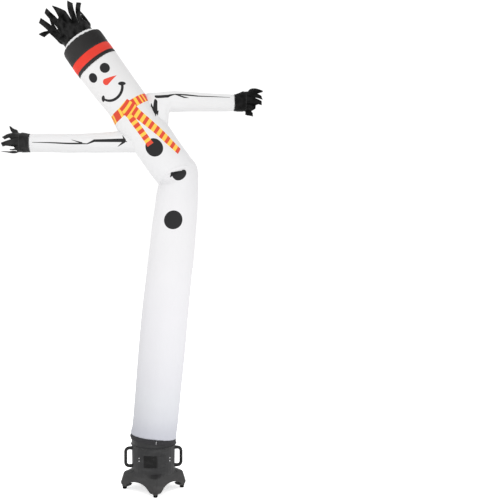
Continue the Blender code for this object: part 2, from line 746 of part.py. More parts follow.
def make_fringe(name, backing, strips, material):
    """A narrow sewn strip, closed into a ring, and the cloth strips that grow from it."""
    pitch = math.tau / len(strips)
    half = pitch / 2 * STRIP_ROOT_SHARE
    angles = []
    for k in range(len(strips)):
        angles += [pitch * k - half, pitch * k + half]
    shape = bmesh.new()

    def loop(inset, rise):
        ring = []
        for angle in angles:
            point = backing.middle + backing.rise * rise
            point = point + backing.side * math.cos(angle) * (backing.side_radius - inset)
            point = point + Vector((0, math.sin(angle) * (backing.depth_radius - inset), 0))
            ring.append(shape.verts.new(point))
        return ring

    reach = backing.length / 2
    outer_low, outer_high = loop(0.0, -reach), loop(0.0, reach)
    inner_low, inner_high = loop(backing.thickness, -reach), loop(backing.thickness, reach)
    count = len(angles)
    for k in range(count):
        after = (k + 1) % count
        shape.faces.new((outer_low[k], outer_low[after], outer_high[after], outer_high[k]))
        shape.faces.new((inner_high[k], inner_high[after], inner_low[after], inner_low[k]))
        shape.faces.new((inner_low[k], inner_low[after], outer_low[after], outer_low[k]))
        if k % 2 == 1:
            shape.faces.new((outer_high[k], outer_high[after], inner_high[after], inner_high[k]))
    half_width = half * (backing.side_radius + backing.depth_radius) / 2
    for k, strip in enumerate(strips):
        low = [outer_high[2 * k], outer_high[2 * k + 1], inner_high[2 * k + 1], inner_high[2 * k]]
        for corners in strip_stations(backing, strip, pitch * k, half_width):
            high = [shape.verts.new(point) for point in corners]
            for j in range(4):
                shape.faces.new((low[j], low[(j + 1) % 4], high[(j + 1) % 4], high[j]))
            low = high
        shape.faces.new(low)
    bmesh.ops.recalc_face_normals(shape, faces=shape.faces)
    piece(name, shape, material)


def make_hair():
    height = (HAIR_STRIP_LOW + HAIR_STRIP_HIGH) / 2
    middle, across, along = hat_frame(height)
    backing = Backing(middle, across, along, HAIR_R, HAIR_R, HAIR_BACKING,
                      HAIR_STRIP_HIGH - HAIR_STRIP_LOW)
    make_fringe("hair_fringe", backing, HAIR, "black_cloth")


def make_fingers():
    ends = (
        ("fingers_left", LEFT_HAND[-1], -1, LEFT_FINGERS),
        ("fingers_right", RIGHT_HAND[0], 1, RIGHT_FINGERS),
    )
    for name, end, outward, strips in ends:
        x = end.top_x + outward * (GAP + FINGER_STRIP_LENGTH / 2)
        middle = Vector((x, 0, (end.top_z + end.bottom_z) / 2))
        radius = (end.top_z - end.bottom_z) / 2
        backing = Backing(middle, Vector((0, 0, 1)), Vector((outward, 0, 0)), radius,
                          end.depth, FINGER_BACKING, FINGER_STRIP_LENGTH)
        make_fringe(name, backing, strips, "black_cloth")


clear_scene()
PARTS = make_collection("air_dancer")
CUTTERS = make_collection("cutters")
AXIS = bpy.data.objects.new("blower_axis", None)
PARTS.objects.link(AXIS)
AXIS.location = (AXIS_X, 0, 0)

make_housing()
make_feet()
make_handles()
make_front_plate()
make_drum_screws()
make_grille()
make_strap()
make_body()
make_sleeves()
make_hat()
make_hair()
make_fingers()
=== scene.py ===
# %% [markdown]
# # Dressing an inflatable air dancer
# An air dancer is a tall sleeve of thin coated nylon that a blower keeps full of air. This
# one is a snowman: a white tube with two thin arms, a hat, and fringes of black cloth where
# the air leaves. It stands on a plastic blower base, to which a webbing strap clamps its hem.
#
# The solids of the object are already made and packed. This script dresses them. Each cloth
# solid is replaced by a thin sheet that starts as a flat cut of cloth and is then rolled up,
# as a sewer would do it, and each hard part gets its own finish.

import math
import random
from collections import namedtuple

import bmesh
import bpy
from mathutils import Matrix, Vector, noise
from mathutils.bvhtree import BVHTree


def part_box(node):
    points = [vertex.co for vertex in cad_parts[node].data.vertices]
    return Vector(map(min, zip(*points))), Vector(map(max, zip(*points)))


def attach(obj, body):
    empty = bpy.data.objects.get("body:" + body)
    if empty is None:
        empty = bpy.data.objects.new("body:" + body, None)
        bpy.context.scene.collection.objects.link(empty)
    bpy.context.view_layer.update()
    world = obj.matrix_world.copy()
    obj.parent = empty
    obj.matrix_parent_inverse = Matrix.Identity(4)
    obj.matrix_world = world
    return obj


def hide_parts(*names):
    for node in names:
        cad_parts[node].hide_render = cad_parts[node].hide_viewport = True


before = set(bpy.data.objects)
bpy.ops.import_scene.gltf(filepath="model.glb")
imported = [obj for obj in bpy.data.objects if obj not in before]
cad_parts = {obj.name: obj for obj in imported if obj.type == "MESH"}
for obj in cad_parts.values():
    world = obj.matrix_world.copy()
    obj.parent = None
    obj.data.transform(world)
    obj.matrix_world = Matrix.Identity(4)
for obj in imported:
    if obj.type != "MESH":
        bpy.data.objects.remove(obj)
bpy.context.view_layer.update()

# %% [markdown]
# ## Where things are
# All lengths are in metres. The blower's axis is the natural place to measure from, because
# the tube, its hem and its strap are all centred on it. The front of the figure faces -Y.

# %% The blower's axis
strap_low, strap_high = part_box("collar_strap")
AXIS_X = (strap_low.x + strap_high.x) / 2
print("the blower's axis stands at x =", round(AXIS_X, 4))


def from_axis(x, y, z):
    """A point that is measured from the blower's axis at floor level."""
    return Vector((x + AXIS_X, y, z))


# %% [markdown]
# ## Camera
# The figure is over three metres tall, so a camera five metres away takes in all of it. It
# stands straight in front of the blower, level, and the picture is shifted sideways instead of
# turning the camera, which keeps the upright lines upright.

# %% Camera
PICTURE_WIDTH = 486
PICTURE_HEIGHT = 500
METRES_PER_PIXEL = 0.00685      # on the plane through the blower's axis
AXIS_COLUMN = 153.4             # picture column and row of the blower's axis at floor level
FLOOR_ROW = 487.5
CAMERA_DISTANCE = 5.0

camera_data = bpy.data.cameras.new("camera")
camera_data.sensor_width = 36.0
picture_side = PICTURE_HEIGHT * METRES_PER_PIXEL
camera_data.lens = camera_data.sensor_width * CAMERA_DISTANCE / picture_side
camera_data.shift_x = (PICTURE_WIDTH / 2 - AXIS_COLUMN) / PICTURE_HEIGHT
camera = bpy.data.objects.new("camera", camera_data)
camera_height = (FLOOR_ROW - PICTURE_HEIGHT / 2) * METRES_PER_PIXEL
camera.location = from_axis(0, -CAMERA_DISTANCE, camera_height)
camera.rotation_euler = (math.radians(90), 0, 0)
bpy.context.scene.collection.objects.link(camera)
bpy.context.scene.camera = camera
print("camera height", round(camera_height, 3), "lens", round(camera_data.lens, 1), "mm")

# %% [markdown]
# ## Floor and light
# White cloth in a white studio needs light from all round: the surroundings give most of it,
# and they keep the dark plastic from going flat. A long soft box lies low in front of the
# figure, a little to the right, and throws its light up along it. Parts that face down and
# forward then get a little more than parts that face up, which is what shows that they are
# round. A weak sun from above puts a last bit of shape on the blower.

# %% Floor
FLOOR_HALF = 60.0


def add_piece(name, shape):
    """Turn a bmesh into an object that stands at the origin."""
    mesh = bpy.data.meshes.new(name)
    shape.to_mesh(mesh)
    shape.free()
    mesh.shade_smooth()
    piece = bpy.data.objects.new(name, mesh)
    bpy.context.scene.collection.objects.link(piece)
    return piece


floor_shape = bmesh.new()
bmesh.ops.create_grid(floor_shape, x_segments=1, y_segments=1, size=FLOOR_HALF)
floor = add_piece("floor", floor_shape)
print("floor:", 2 * FLOOR_HALF, "m square")


# %% Lights
def add_sun(name, aim, strength, width):
    """A sun whose light runs along aim; width is how broad it looks, in degrees."""
    data = bpy.data.lights.new(name, "SUN")
    data.energy = strength
    data.angle = math.radians(width)
    light = bpy.data.objects.new(name, data)
    light.rotation_euler = aim.to_track_quat("-Z", "Y").to_euler()
    bpy.context.scene.collection.objects.link(light)


def add_soft_box(name, place, towards, width, height, power):
    """A broad flat light that shines towards a point and isn't seen itself."""
    data = bpy.data.lights.new(name, "AREA")
    data.shape, data.size, data.size_y = "RECTANGLE", width, height
    data.energy = power
    light = bpy.data.objects.new(name, data)
    light.location = place
    light.rotation_euler = (towards - place).to_track_quat("-Z", "Y").to_euler()
    light.visible_camera = False
    bpy.context.scene.collection.objects.link(light)


add_soft_box("low soft box", place=from_axis(0.4, -3.4, 0.30), towards=from_axis(-0.1, 0, 2.1),
             width=3.0, height=0.5, power=18.0)
add_sun("weak sun", aim=Vector((0.25, 1.0, -0.7)), strength=0.10, width=40.0)

world = bpy.data.worlds.new("studio")
world.use_nodes = True
surroundings = world.node_tree.nodes["Background"].inputs
surroundings["Color"].default_value = (1, 1, 1, 1)
surroundings["Strength"].default_value = 1.08
bpy.context.scene.world = world
bpy.context.scene.view_settings.view_transform = "Standard"

# %% [markdown]
# ## Cutting and rolling cloth
# A real air dancer is cut flat and sewn into tubes. The same steps work in Blender. The cut is
# a grid that remembers each point's flat place in metres, once for each point and once as a UV
# map, and a function then carries each flat place to its place on the tube. Because the UV map
# keeps real sizes, the weave, the stitching and the prints can all be laid out on the flat cut.

# %% Cutting cloth flat
def steps(start, end, count):
    """Evenly spaced places, with both ends."""
    return [start + (end - start) * k / count for k in range(count + 1)]


def table(columns, rows):
    """Give each row of numbers the names of its columns."""
    return [columns(*row) for row in rows]


def ease(start, end, value):
    """0 before start, 1 after end, and soft in between."""
    share = min(max((value - start) / (end - start), 0.0), 1.0)
    return share * share * (3 - 2 * share)


def blend(first, second, share):
    return first + (second - first) * share


def bell(distance, width):
    """1 at no distance, and softly down to nearly 0 at twice the width."""
    return math.exp(-(distance / width) ** 2)


def new_cloth():
    """A mesh whose points remember their place on the flat cut."""
    shape = bmesh.new()
    shape.loops.layers.uv.new("flat")
    shape.verts.layers.float.new("flat_x")
    shape.verts.layers.float.new("flat_y")
    return shape


def flat_layers(shape):
    return shape.verts.layers.float["flat_x"], shape.verts.layers.float["flat_y"]


def write_flat_map(shape, faces):
    """Copy each point's flat place into the UV map."""
    flat_map = shape.loops.layers.uv["flat"]
    keep_x, keep_y = flat_layers(shape)
    for face in faces:
        for loop in face.loops:
            loop[flat_map].uv = (loop.vert[keep_x], loop.vert[keep_y])


def add_cut(shape, columns, rows, place, low_edge=None, high_edge=None, flat=None):
    """Lay a flat cut and carry each of its points to place(x, y).

    columns and rows are where its grid lines lie. low_edge and high_edge may give another end
    for each column, and flat(x, y) another place on the flat cut.
    """
    keep_x, keep_y = flat_layers(shape)
    across, along = len(columns) - 1, len(rows) - 1
    made = bmesh.ops.create_grid(shape, x_segments=across, y_segments=along, size=0.5)["verts"]
    for vert in made:
        column = round((vert.co.x + 0.5) * across)
        row = round((vert.co.y + 0.5) * along)
        x, y = columns[column], rows[row]
        share = (y - rows[0]) / (rows[-1] - rows[0])
        if low_edge:
            y += (low_edge[column] - rows[0]) * (1 - share)
        if high_edge:
            y += (high_edge[column] - rows[-1]) * share
        vert.co = place(x, y)
        vert[keep_x], vert[keep_y] = flat(x, y) if flat else (x, y)
    write_flat_map(shape, {face for vert in made for face in vert.link_faces})


# %% Sewing and lining
CLOTH = 0.0012          # thickness of the cloth


def sew(shape):
    """Join edges that lie on each other and turn the faces outwards."""
    bmesh.ops.remove_doubles(shape, verts=shape.verts, dist=0.00001)
    bmesh.ops.recalc_face_normals(shape, faces=shape.faces)
    shape.normal_update()


def push_out(shape, amount):
    """Move each point along its normal by amount(x, y)."""
    keep_x, keep_y = flat_layers(shape)
    moves = [vert.normal * amount(vert[keep_x], vert[keep_y]) for vert in shape.verts]
    for vert, move in zip(shape.verts, moves):
        vert.co += move
    shape.normal_update()


def line_cloth(piece, thickness=CLOTH, offset=-1.0):
    """Give a sheet its thickness; an offset of -1 keeps its outside where it is."""
    modifier = piece.modifiers.new("cloth", "SOLIDIFY")
    modifier.thickness = thickness
    modifier.offset = offset
    return piece


def declare_sheet(piece, nodes, flat):
    """Hang a piece of cloth on the root, hide the solids that it stands for, and print the size
    of its flat cut.
    """
    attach(piece, "root")
    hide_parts(*nodes)
    print(piece.name, "flat", round(flat[0], 3), "by", round(flat[1], 3), "m")
    return piece


# %% [markdown]
# ## Creases
# Air keeps most of the cloth smooth, so a crease only shows where something pulls on it: at the
# bend, at the armholes, and at the strap. A crease is a soft trough that fades at both ends and
# pushes up a low ridge on each side. Each one is placed on the flat cut. Slow noise
# adds the small unevenness that stretched nylon always has.

# %% Creases
Crease = namedtuple("Crease", "start_x start_y end_x end_y half_width depth")
RIDGE_AWAY = 1.9        # half widths between a crease's line and the ridge beside it
RIDGE_SHARE = 0.4       # height of the ridge as a share of the crease's depth
CREASE_REACH = 4.0      # half widths from its line past which a crease does nothing


def crease_depth(crease, x, y):
    """How far one crease moves the cloth in or out at a flat place."""
    run_x, run_y = crease.end_x - crease.start_x, crease.end_y - crease.start_y
    off_x, off_y = x - crease.start_x, y - crease.start_y
    share = (off_x * run_x + off_y * run_y) / (run_x * run_x + run_y * run_y)
    if not 0.0 < share < 1.0:
        return 0.0
    away = math.hypot(off_x - run_x * share, off_y - run_y * share) / crease.half_width
    if away > CREASE_REACH:
        return 0.0
    taper = math.sin(math.pi * share) ** 0.7
    trough, ridge = bell(away, 1.0), bell(away - RIDGE_AWAY, 1.0)
    return crease.depth * taper * (RIDGE_SHARE * ridge - trough)


def slow_noise(x, y, width, fine_round, fine_along):
    """Noise that closes on itself round a tube of that width; finer as the numbers grow."""
    angle = math.tau * x / width
    reach = width / math.tau * fine_round
    return noise.noise(Vector((math.cos(angle) * reach, math.sin(angle) * reach,
                               y * fine_along)))


def angle_of(x, width):
    """Angle round a tube for a flat place; the front, at -Y, is at 270 degrees."""
    return math.radians(270.0) + math.tau * x / width


Swell = namedtuple("Swell", "rise shift fine_round fine_along")
Gathers = namedtuple("Gathers", "rise reach count wander fine_round lift", defaults=(0.0,))


def swelling(kind, x, y, width):
    """Slow unevenness of cloth that is full of air."""
    return kind.rise * slow_noise(x, y + kind.shift, width, kind.fine_round, kind.fine_along)


def ripples(kind, x, width, shift):
    """Ripples of gathered cloth round a tube, from -1 to 1, whose pitch wanders a little.

    shift says where the noise is read, so that no two gathered edges are alike.
    """
    wandered = kind.wander * slow_noise(x, shift, width, kind.fine_round, 1)
    return math.cos(angle_of(x, width) * kind.count + wandered)


def gathering(kind, x, width, shift, away):
    """How far gathers move the cloth, that far away from the line that holds it."""
    return (kind.rise * (kind.lift + ripples(kind, x, width, shift))
            * math.exp(-away / kind.reach))


# %% [markdown]
# ## The tube's course
# The tube's course is a table of sections, nearly the same as the solid's: where its left and
# right edges are, how deep it is, and how deep the fold at the bend draws it in. A smooth curve
# through the rows fills the stretches between them.

# %% Sections of the tube
Section = namedtuple("Section", "left_x left_z right_x right_z depth fold", defaults=(0.0,))
TUBE = table(Section, (
    (-0.1518, 0.3540, 0.1518, 0.3180, 0.1518),
    (-0.1518, 0.3744, 0.1518, 0.3386, 0.1518),
    (-0.1540, 0.3776, 0.1560, 0.3418, 0.1566),
    (-0.1545, 0.3816, 0.1575, 0.3458, 0.1581),
    (-0.1540, 0.3876, 0.1581, 0.3530, 0.1581),
    (-0.1510, 0.3990, 0.1575, 0.3670, 0.1560),
    (-0.1462, 0.4150, 0.1590, 0.3880, 0.1540),
    (-0.1405, 0.4700, 0.1660, 0.4500, 0.1545),
    (-0.1302, 0.6126, 0.1800, 0.5854, 0.1535),
    (-0.1086, 0.8836, 0.2091, 0.8564, 0.1525),
    (-0.0842, 1.1636, 0.2348, 1.1364, 0.1520),
    (-0.0525, 1.4336, 0.2611, 1.4064, 0.1525),
    (-0.0349, 1.5736, 0.2742, 1.5464, 0.1530),
    (-0.0195, 1.7085, 0.2859, 1.6815, 0.1530),
    (-0.0061, 1.8200, 0.2941, 1.7950, 0.1550),
    (+0.0089, 1.9214, 0.3014, 1.9078, 0.1570),
    (+0.0199, 2.0036, 0.3041, 2.0173, 0.1580),
    (+0.0294, 2.0500, 0.3048, 2.0950, 0.1580, 0.002),
    (+0.0315, 2.0740, 0.3050, 2.1520, 0.1560, 0.020),
    (+0.0240, 2.0930, 0.2930, 2.2040, 0.1580, 0.004),
    (-0.0106, 2.1372, 0.2439, 2.2742, 0.1550, -0.004),
    (-0.0712, 2.2215, 0.1726, 2.3715, 0.1500),
    (-0.1277, 2.3023, 0.1080, 2.4670, 0.1490),
    (-0.1822, 2.3701, 0.0533, 2.5401, 0.1480),
    (-0.2398, 2.4379, 0.0024, 2.6125, 0.1470),
    (-0.2925, 2.5427, -0.0617, 2.7030, 0.1480),
    (-0.4000, 2.6750, -0.1630, 2.8462, 0.1490),
    (-0.4983, 2.7989, -0.2572, 2.9807, 0.1500),
))
HEM_TILT = 0.0083       # how much higher the hem sits at the front than in the middle
TILT_START, TILT_END = 0.06, 0.20       # flat y between which that fades
FOLD_SPREAD = 34.0      # degrees round the tube that each cheek of the fold reaches
FOLD_PLACE = 48.0       # degrees from the bend's inner side to where the cheeks are deepest


def distance_between(first, second):
    """How far apart the middles of two sections are."""
    across = (first[0] + first[2] - second[0] - second[2]) / 2
    up = (first[1] + first[3] - second[1] - second[3]) / 2
    return math.hypot(across, up)


def lengths_along(rows, distance=distance_between):
    """How far along the course each row stands."""
    lengths = [0.0]
    for first, second in zip(rows, rows[1:]):
        lengths.append(lengths[-1] + distance(first, second))
    return lengths


def smooth_row(rows, lengths, place):
    """Every column's value at a place along the course, on a smooth curve through the rows."""
    last = len(rows) - 1
    index = 0
    while index < last - 1 and place > lengths[index + 1]:
        index += 1
    span = lengths[index + 1] - lengths[index]
    share = min(max((place - lengths[index]) / span, 0.0), 1.0)

    def slope(at, column):
        before, after = max(at - 1, 0), min(at + 1, last)
        rise = rows[after][column] - rows[before][column]
        return rise / (lengths[after] - lengths[before])

    square, cube = share * share, share * share * share
    values = []
    for column in range(len(rows[0])):
        values.append(
            (2 * cube - 3 * square + 1) * rows[index][column]
            + (cube - 2 * square + share) * span * slope(index, column)
            + (3 * square - 2 * cube) * rows[index + 1][column]
            + (cube - square) * span * slope(index + 1, column)
        )
    return values


TURNED_UNDER = 0.0143           # hem allowance at the bottom, folded away under the strap
TUBE_LENGTHS = [TURNED_UNDER + length for length in lengths_along(TUBE)]
TUBE_LENGTH = TUBE_LENGTHS[-1]
TUBE_WIDTH = 0.965              # round the tube
print("the tube's cloth is", TUBE_WIDTH, "by", round(TUBE_LENGTH, 3), "m")

# %% [markdown]
# ## Rolling the tube
# The seam lies at the back, so flat x is 0 at the front's middle, negative on the left as seen
# from the front, and y runs up from the hem. Two thirds of the way up the blast of air can't
# hold the tube straight and it bends. There the cloth folds over itself: the tuck swallows some
# of its length, which is why the button printed there looks squashed.

# %% From the flat cut to the tube
def oval_point(first, second, depth, angle):
    """A point on an oval that spans from second to first and has a half depth along Y."""
    middle = (first + second) / 2
    reach = (first - second) / 2
    return middle + reach * math.cos(angle) + Vector((0, depth * math.sin(angle), 0))


def tube_point(x, y):
    left_x, left_z, right_x, right_z, depth, fold = smooth_row(TUBE, TUBE_LENGTHS, y)
    angle = angle_of(x, TUBE_WIDTH)
    from_inner = abs(math.degrees(angle % math.tau) - 180.0)
    cheek = bell(from_inner - FOLD_PLACE, FOLD_SPREAD)
    drawn_in = 1.0 - fold * cheek / depth
    right, left = from_axis(right_x, 0, right_z), from_axis(left_x, 0, left_z)
    middle = (right + left) / 2
    tilt = HEM_TILT * (1 - ease(TILT_START, TILT_END, y))
    raised = Vector((0, 0, -tilt * math.sin(angle)))
    return middle + raised + (oval_point(right, left, depth, angle) - middle) * drawn_in


COLUMNS_ROUND = 120
HEM_END = 0.07
KINK_START, LIP_START, LIP_END, KINK_END = 1.68, 1.80, 1.88, 1.94
tube_columns = steps(-TUBE_WIDTH / 2, TUBE_WIDTH / 2, COLUMNS_ROUND)
tube_rows = (
    steps(TURNED_UNDER, HEM_END, 12)[:-1]
    + steps(HEM_END, KINK_START, 186)[:-1]
    + steps(KINK_START, LIP_START, 24)[:-1]
    + steps(LIP_START, LIP_END, 30)[:-1]
    + steps(LIP_END, KINK_END, 12)[:-1]
    + steps(KINK_END, TUBE_LENGTH, 112)
)
tube_shape = new_cloth()
add_cut(tube_shape, tube_columns, tube_rows, tube_point)
sew(tube_shape)
print("tube:", len(tube_shape.faces), "faces in", len(tube_rows) - 1, "rows")

# %% [markdown]
# ## The sleeves' course
# Each sleeve has a table of sections as well, from inside the tube to the cuff. Its flat x is
# 0 at the front and grows towards its top edge.

# %% Sections of the sleeves
Oval = namedtuple("Oval", "top_x top_z bottom_x bottom_z depth")
LEFT_SLEEVE = table(Oval, (
    (-0.0500, 2.4450, -0.0500, 2.2950, 0.0700),
    (-0.1800, 2.4430, -0.1600, 2.2960, 0.0700),
    (-0.3100, 2.4340, -0.2900, 2.2950, 0.0680),
    (-0.4000, 2.4278, -0.4000, 2.2935, 0.0665),
    (-0.4900, 2.4225, -0.4900, 2.2950, 0.0640),
    (-0.5713, 2.4208, -0.5713, 2.2934, 0.0635),
    (-0.7000, 2.4225, -0.7000, 2.2965, 0.0625),
    (-0.8450, 2.4210, -0.8450, 2.2975, 0.0612),
))
RIGHT_SLEEVE = table(Oval, (
    (-0.1300, 2.6400, 0.0100, 2.4074, 0.0780),
    (-0.0370, 2.7000, 0.0945, 2.4694, 0.0780),
    (+0.0200, 2.7040, 0.1030, 2.5250, 0.0740),
    (+0.1000, 2.7120, 0.1110, 2.5700, 0.0705),
    (+0.1480, 2.7140, 0.1480, 2.5735, 0.0690),
    (+0.2500, 2.7080, 0.2500, 2.5775, 0.0650),
    (+0.3880, 2.6985, 0.3880, 2.5785, 0.0600),
    (+0.4700, 2.6945, 0.4700, 2.5775, 0.0580),
    (+0.5520, 2.6900, 0.5520, 2.5790, 0.0550),
))


class Sleeve:
    """A tapering tube of cloth: its table of sections and the size of its flat cut."""

    def __init__(self, name, rows, width):
        self.name, self.rows, self.width = name, rows, width
        self.lengths = lengths_along(rows)
        self.length = self.lengths[-1]

    def point(self, x, y):
        top_x, top_z, bottom_x, bottom_z, depth = smooth_row(self.rows, self.lengths, y)
        top, bottom = from_axis(top_x, 0, top_z), from_axis(bottom_x, 0, bottom_z)
        return oval_point(top, bottom, depth, angle_of(x, self.width))


LEFT_WIDTH, RIGHT_WIDTH = 0.405, 0.385      # round the sleeves and cuffs
left_sleeve = Sleeve("sleeve_left", LEFT_SLEEVE, LEFT_WIDTH)
right_sleeve = Sleeve("sleeve_right", RIGHT_SLEEVE, RIGHT_WIDTH)
SLEEVES = (left_sleeve, right_sleeve)
for sleeve in SLEEVES:
    print(sleeve.name, sleeve.width, "by", round(sleeve.length, 3), "m")

# %% [markdown]
# ## Armholes
# A sleeve's head isn't cut straight: its edge follows the curved side of the tube that it is
# sewn to. Tape it to a paper model and mark where each line of the sleeve meets the tube, and
# you have both the curve of the sleeve's head and the outline of the armhole. Casting rays from
# the hand towards the tube does the same.

# %% Where a sleeve meets the tube
SLEEVE_COLUMNS = 84
SEAM_ALLOWANCE = 0.008      # of each sleeve's head, inside the tube
WALK = 0.01                 # step along a sleeve's line when looking for the tube


def find_root(surface, sleeve, x):
    """Flat y where the sleeve's line at x enters the surface, the point, and the face hit."""
    y, start = sleeve.length, sleeve.point(x, sleeve.length)
    while y > 0:
        next_y = max(y - WALK, 0.0)
        end = sleeve.point(x, next_y)
        way = end - start
        hit, _, face, distance = surface.ray_cast(start, way.normalized(), way.length)
        if hit is not None:
            return y - (y - next_y) * distance / way.length, hit, face
        y, start = next_y, end
    raise ValueError(f"{sleeve.name} doesn't meet the tube at {x}")


def flat_place(shape, hit, face):
    """Flat place of a point on a face, from the face's nearest corners."""
    keep_x, keep_y = flat_layers(shape)
    total = x = y = 0.0
    for vert in face.verts:
        weight = 1.0 / ((vert.co - hit).length + 0.0001)
        total += weight
        x += vert[keep_x] * weight
        y += vert[keep_y] * weight
    return Vector((x / total, y / total))


def fit_sleeve(shape, sleeve):
    """Find the sleeve's head and its armhole on the tube."""
    shape.faces.ensure_lookup_table()
    surface = BVHTree.FromBMesh(shape)
    sleeve.columns = steps(-sleeve.width / 2, sleeve.width / 2, SLEEVE_COLUMNS)
    sleeve.roots, outline = [], []
    for x in sleeve.columns:
        root, hit, face = find_root(surface, sleeve, x)
        sleeve.roots.append(root)
        outline.append(flat_place(shape, hit, shape.faces[face]))
    sleeve.hole_middle = sum(outline, Vector((0, 0))) / len(outline)
    spokes = [point - sleeve.hole_middle for point in outline[:-1]]
    sleeve.hole = sorted((math.atan2(s.y, s.x), s.length) for s in spokes)


def hole_radius(sleeve, x, y):
    """Reach of the armhole's outline in the direction of a flat place, and the direction."""
    angle = math.atan2(y - sleeve.hole_middle.y, x - sleeve.hole_middle.x)
    hole = sleeve.hole
    before = hole[-1][0] - math.tau, hole[-1][1]
    for after in hole + [(hole[0][0] + math.tau, hole[0][1])]:
        if angle <= after[0]:
            share = (angle - before[0]) / max(after[0] - before[0], 1e-6)
            return blend(before[1], after[1], share), angle
        before = after
    return hole[0][1], angle


for sleeve in SLEEVES:
    fit_sleeve(tube_shape, sleeve)
    print(sleeve.name, "meets the tube round flat place",
          [round(c, 3) for c in sleeve.hole_middle])

# %% [markdown]
# ## Relief of the tube
# Now the tube gets its unevenness, all as moves along the surface's normals: long soft waves,
# gathers where the strap holds the hem, puckers round the armholes and under the hat, the
# raised seam at the back, the creases that fan out from the bend, and the lip of the tuck.

# %% Creases of the tube
TUBE_CREASES = table(Crease, (
    # fan from the inner side of the bend, front and back
    (-0.245, 1.800, -0.135, 1.806, 0.012, 0.0030),
    (-0.242, 1.785, -0.150, 1.752, 0.012, 0.0024),
    (-0.240, 1.770, -0.165, 1.690, 0.012, 0.0018),
    (-0.238, 1.822, -0.150, 1.880, 0.012, 0.0024),
    (-0.236, 1.845, -0.170, 1.930, 0.012, 0.0018),
    (-0.250, 1.800, -0.430, 1.815, 0.011, 0.0060),
    (-0.255, 1.785, -0.390, 1.740, 0.010, 0.0040),
    (-0.255, 1.820, -0.380, 1.890, 0.010, 0.0040),
    (-0.300, 1.842, -0.440, 1.850, 0.009, 0.0030),
    # small bumps along the inner edge above the bend
    (-0.290, 1.900, -0.200, 1.890, 0.008, 0.0026),
    (-0.285, 1.948, -0.205, 1.955, 0.008, 0.0022),
    (-0.280, 2.000, -0.210, 1.990, 0.009, 0.0018),
    # pulled cloth on the outer side
    (0.090, 1.830, 0.235, 1.812, 0.014, 0.0024),
    (0.120, 1.870, 0.270, 1.900, 0.016, 0.0016),
    (0.250, 1.835, 0.420, 1.850, 0.014, 0.0022),
    # long slack lines between the buttons, and across the chest
    (0.060, 1.780, 0.110, 1.500, 0.016, 0.0014),
    (-0.110, 1.700, -0.150, 1.380, 0.018, 0.0014),
    (-0.060, 1.900, 0.020, 2.010, 0.014, 0.0014),
    (-0.210, 2.230, -0.060, 2.120, 0.014, 0.0022),
    (-0.200, 2.080, -0.090, 1.980, 0.014, 0.0018),
    (0.190, 2.300, 0.060, 2.180, 0.014, 0.0016),
    (0.200, 2.180, 0.120, 2.020, 0.016, 0.0016),
    (0.150, 2.560, 0.190, 2.430, 0.014, 0.0018),
    (-0.150, 2.520, -0.200, 2.300, 0.014, 0.0016),
    # low down, where the tube leans off the collar
    (-0.150, 0.075, -0.120, 0.330, 0.018, 0.0024),
    (0.080, 0.070, 0.055, 0.300, 0.016, 0.0018),
    (-0.030, 0.070, -0.020, 0.210, 0.013, 0.0014),
    (0.190, 0.072, 0.210, 0.360, 0.018, 0.0018),
    (-0.330, 0.075, -0.300, 0.300, 0.016, 0.0020),
    (0.360, 0.075, 0.380, 0.280, 0.016, 0.0020),
    # long slack lines at the back
    (-0.360, 0.900, -0.330, 1.400, 0.020, 0.0018),
    (0.350, 1.150, 0.390, 1.620, 0.020, 0.0018),
    (0.330, 2.100, 0.420, 2.330, 0.016, 0.0020),
    (-0.400, 2.050, -0.330, 2.260, 0.016, 0.0020),
    (-0.440, 2.450, -0.340, 2.600, 0.014, 0.0016),
))

# %% The tuck
# Wave: how far above a line it lies, how far it reaches, and how far it moves the cloth out.
Wave = namedtuple("Wave", "above reach rise")
TUCK = table(Wave, (
    (+0.013, 0.014, +0.0085),       # rolled lip, above its line
    (-0.008, 0.008, -0.0080),       # trough under it
    (-0.034, 0.014, +0.0040),       # cloth that swells out again
))
LIP_X, LIP_Y, LIP_BEND = -0.03, 1.842, 0.8      # flat place of the line's highest point
LEFT_FADE, RIGHT_FADE = (-0.13, -0.06), (0.055, 0.11)       # flat x where the tuck ends


def tuck_depth(x, y):
    """The cloth above the tuck hangs over the cloth below it, along a bent line."""
    above = y - (LIP_Y - LIP_BEND * (x - LIP_X) ** 2)
    strength = ease(*LEFT_FADE, x) * (1 - ease(*RIGHT_FADE, x))
    return strength * sum(wave.rise * bell(above - wave.above, wave.reach) for wave in TUCK)


# %% Puckers round the armholes
PUCKER = Gathers(rise=0.0022, reach=0.030, count=19, wander=2.0, fine_round=2.3, lift=0.3)
PUCKER_SEAM = Wave(above=0.0, reach=0.006, rise=-0.0022)
INSIDE_HOLE = -0.02             # metres inside the hole's edge, past which nothing is moved


def pucker(sleeve, x, y):
    """Gathers round an armhole: ripples that run out from its seam and fade."""
    radius, angle = hole_radius(sleeve, x, y)
    away = math.hypot(x - sleeve.hole_middle.x, y - sleeve.hole_middle.y) - radius
    if away > PUCKER.reach * 2.5 or away < INSIDE_HOLE:
        return 0.0
    uneven = 0.5 + 0.5 * noise.noise(Vector((angle * 1.7, sleeve.width, 3.0)))
    drift = noise.noise(Vector((angle * PUCKER.fine_round, sleeve.width, 8.0)))
    ripple = math.cos(angle * PUCKER.count + PUCKER.wander * drift)
    return (PUCKER_SEAM.rise * bell(away, PUCKER_SEAM.reach)
            + PUCKER.rise * uneven * (PUCKER.lift + ripple) * math.exp(-abs(away) / PUCKER.reach))


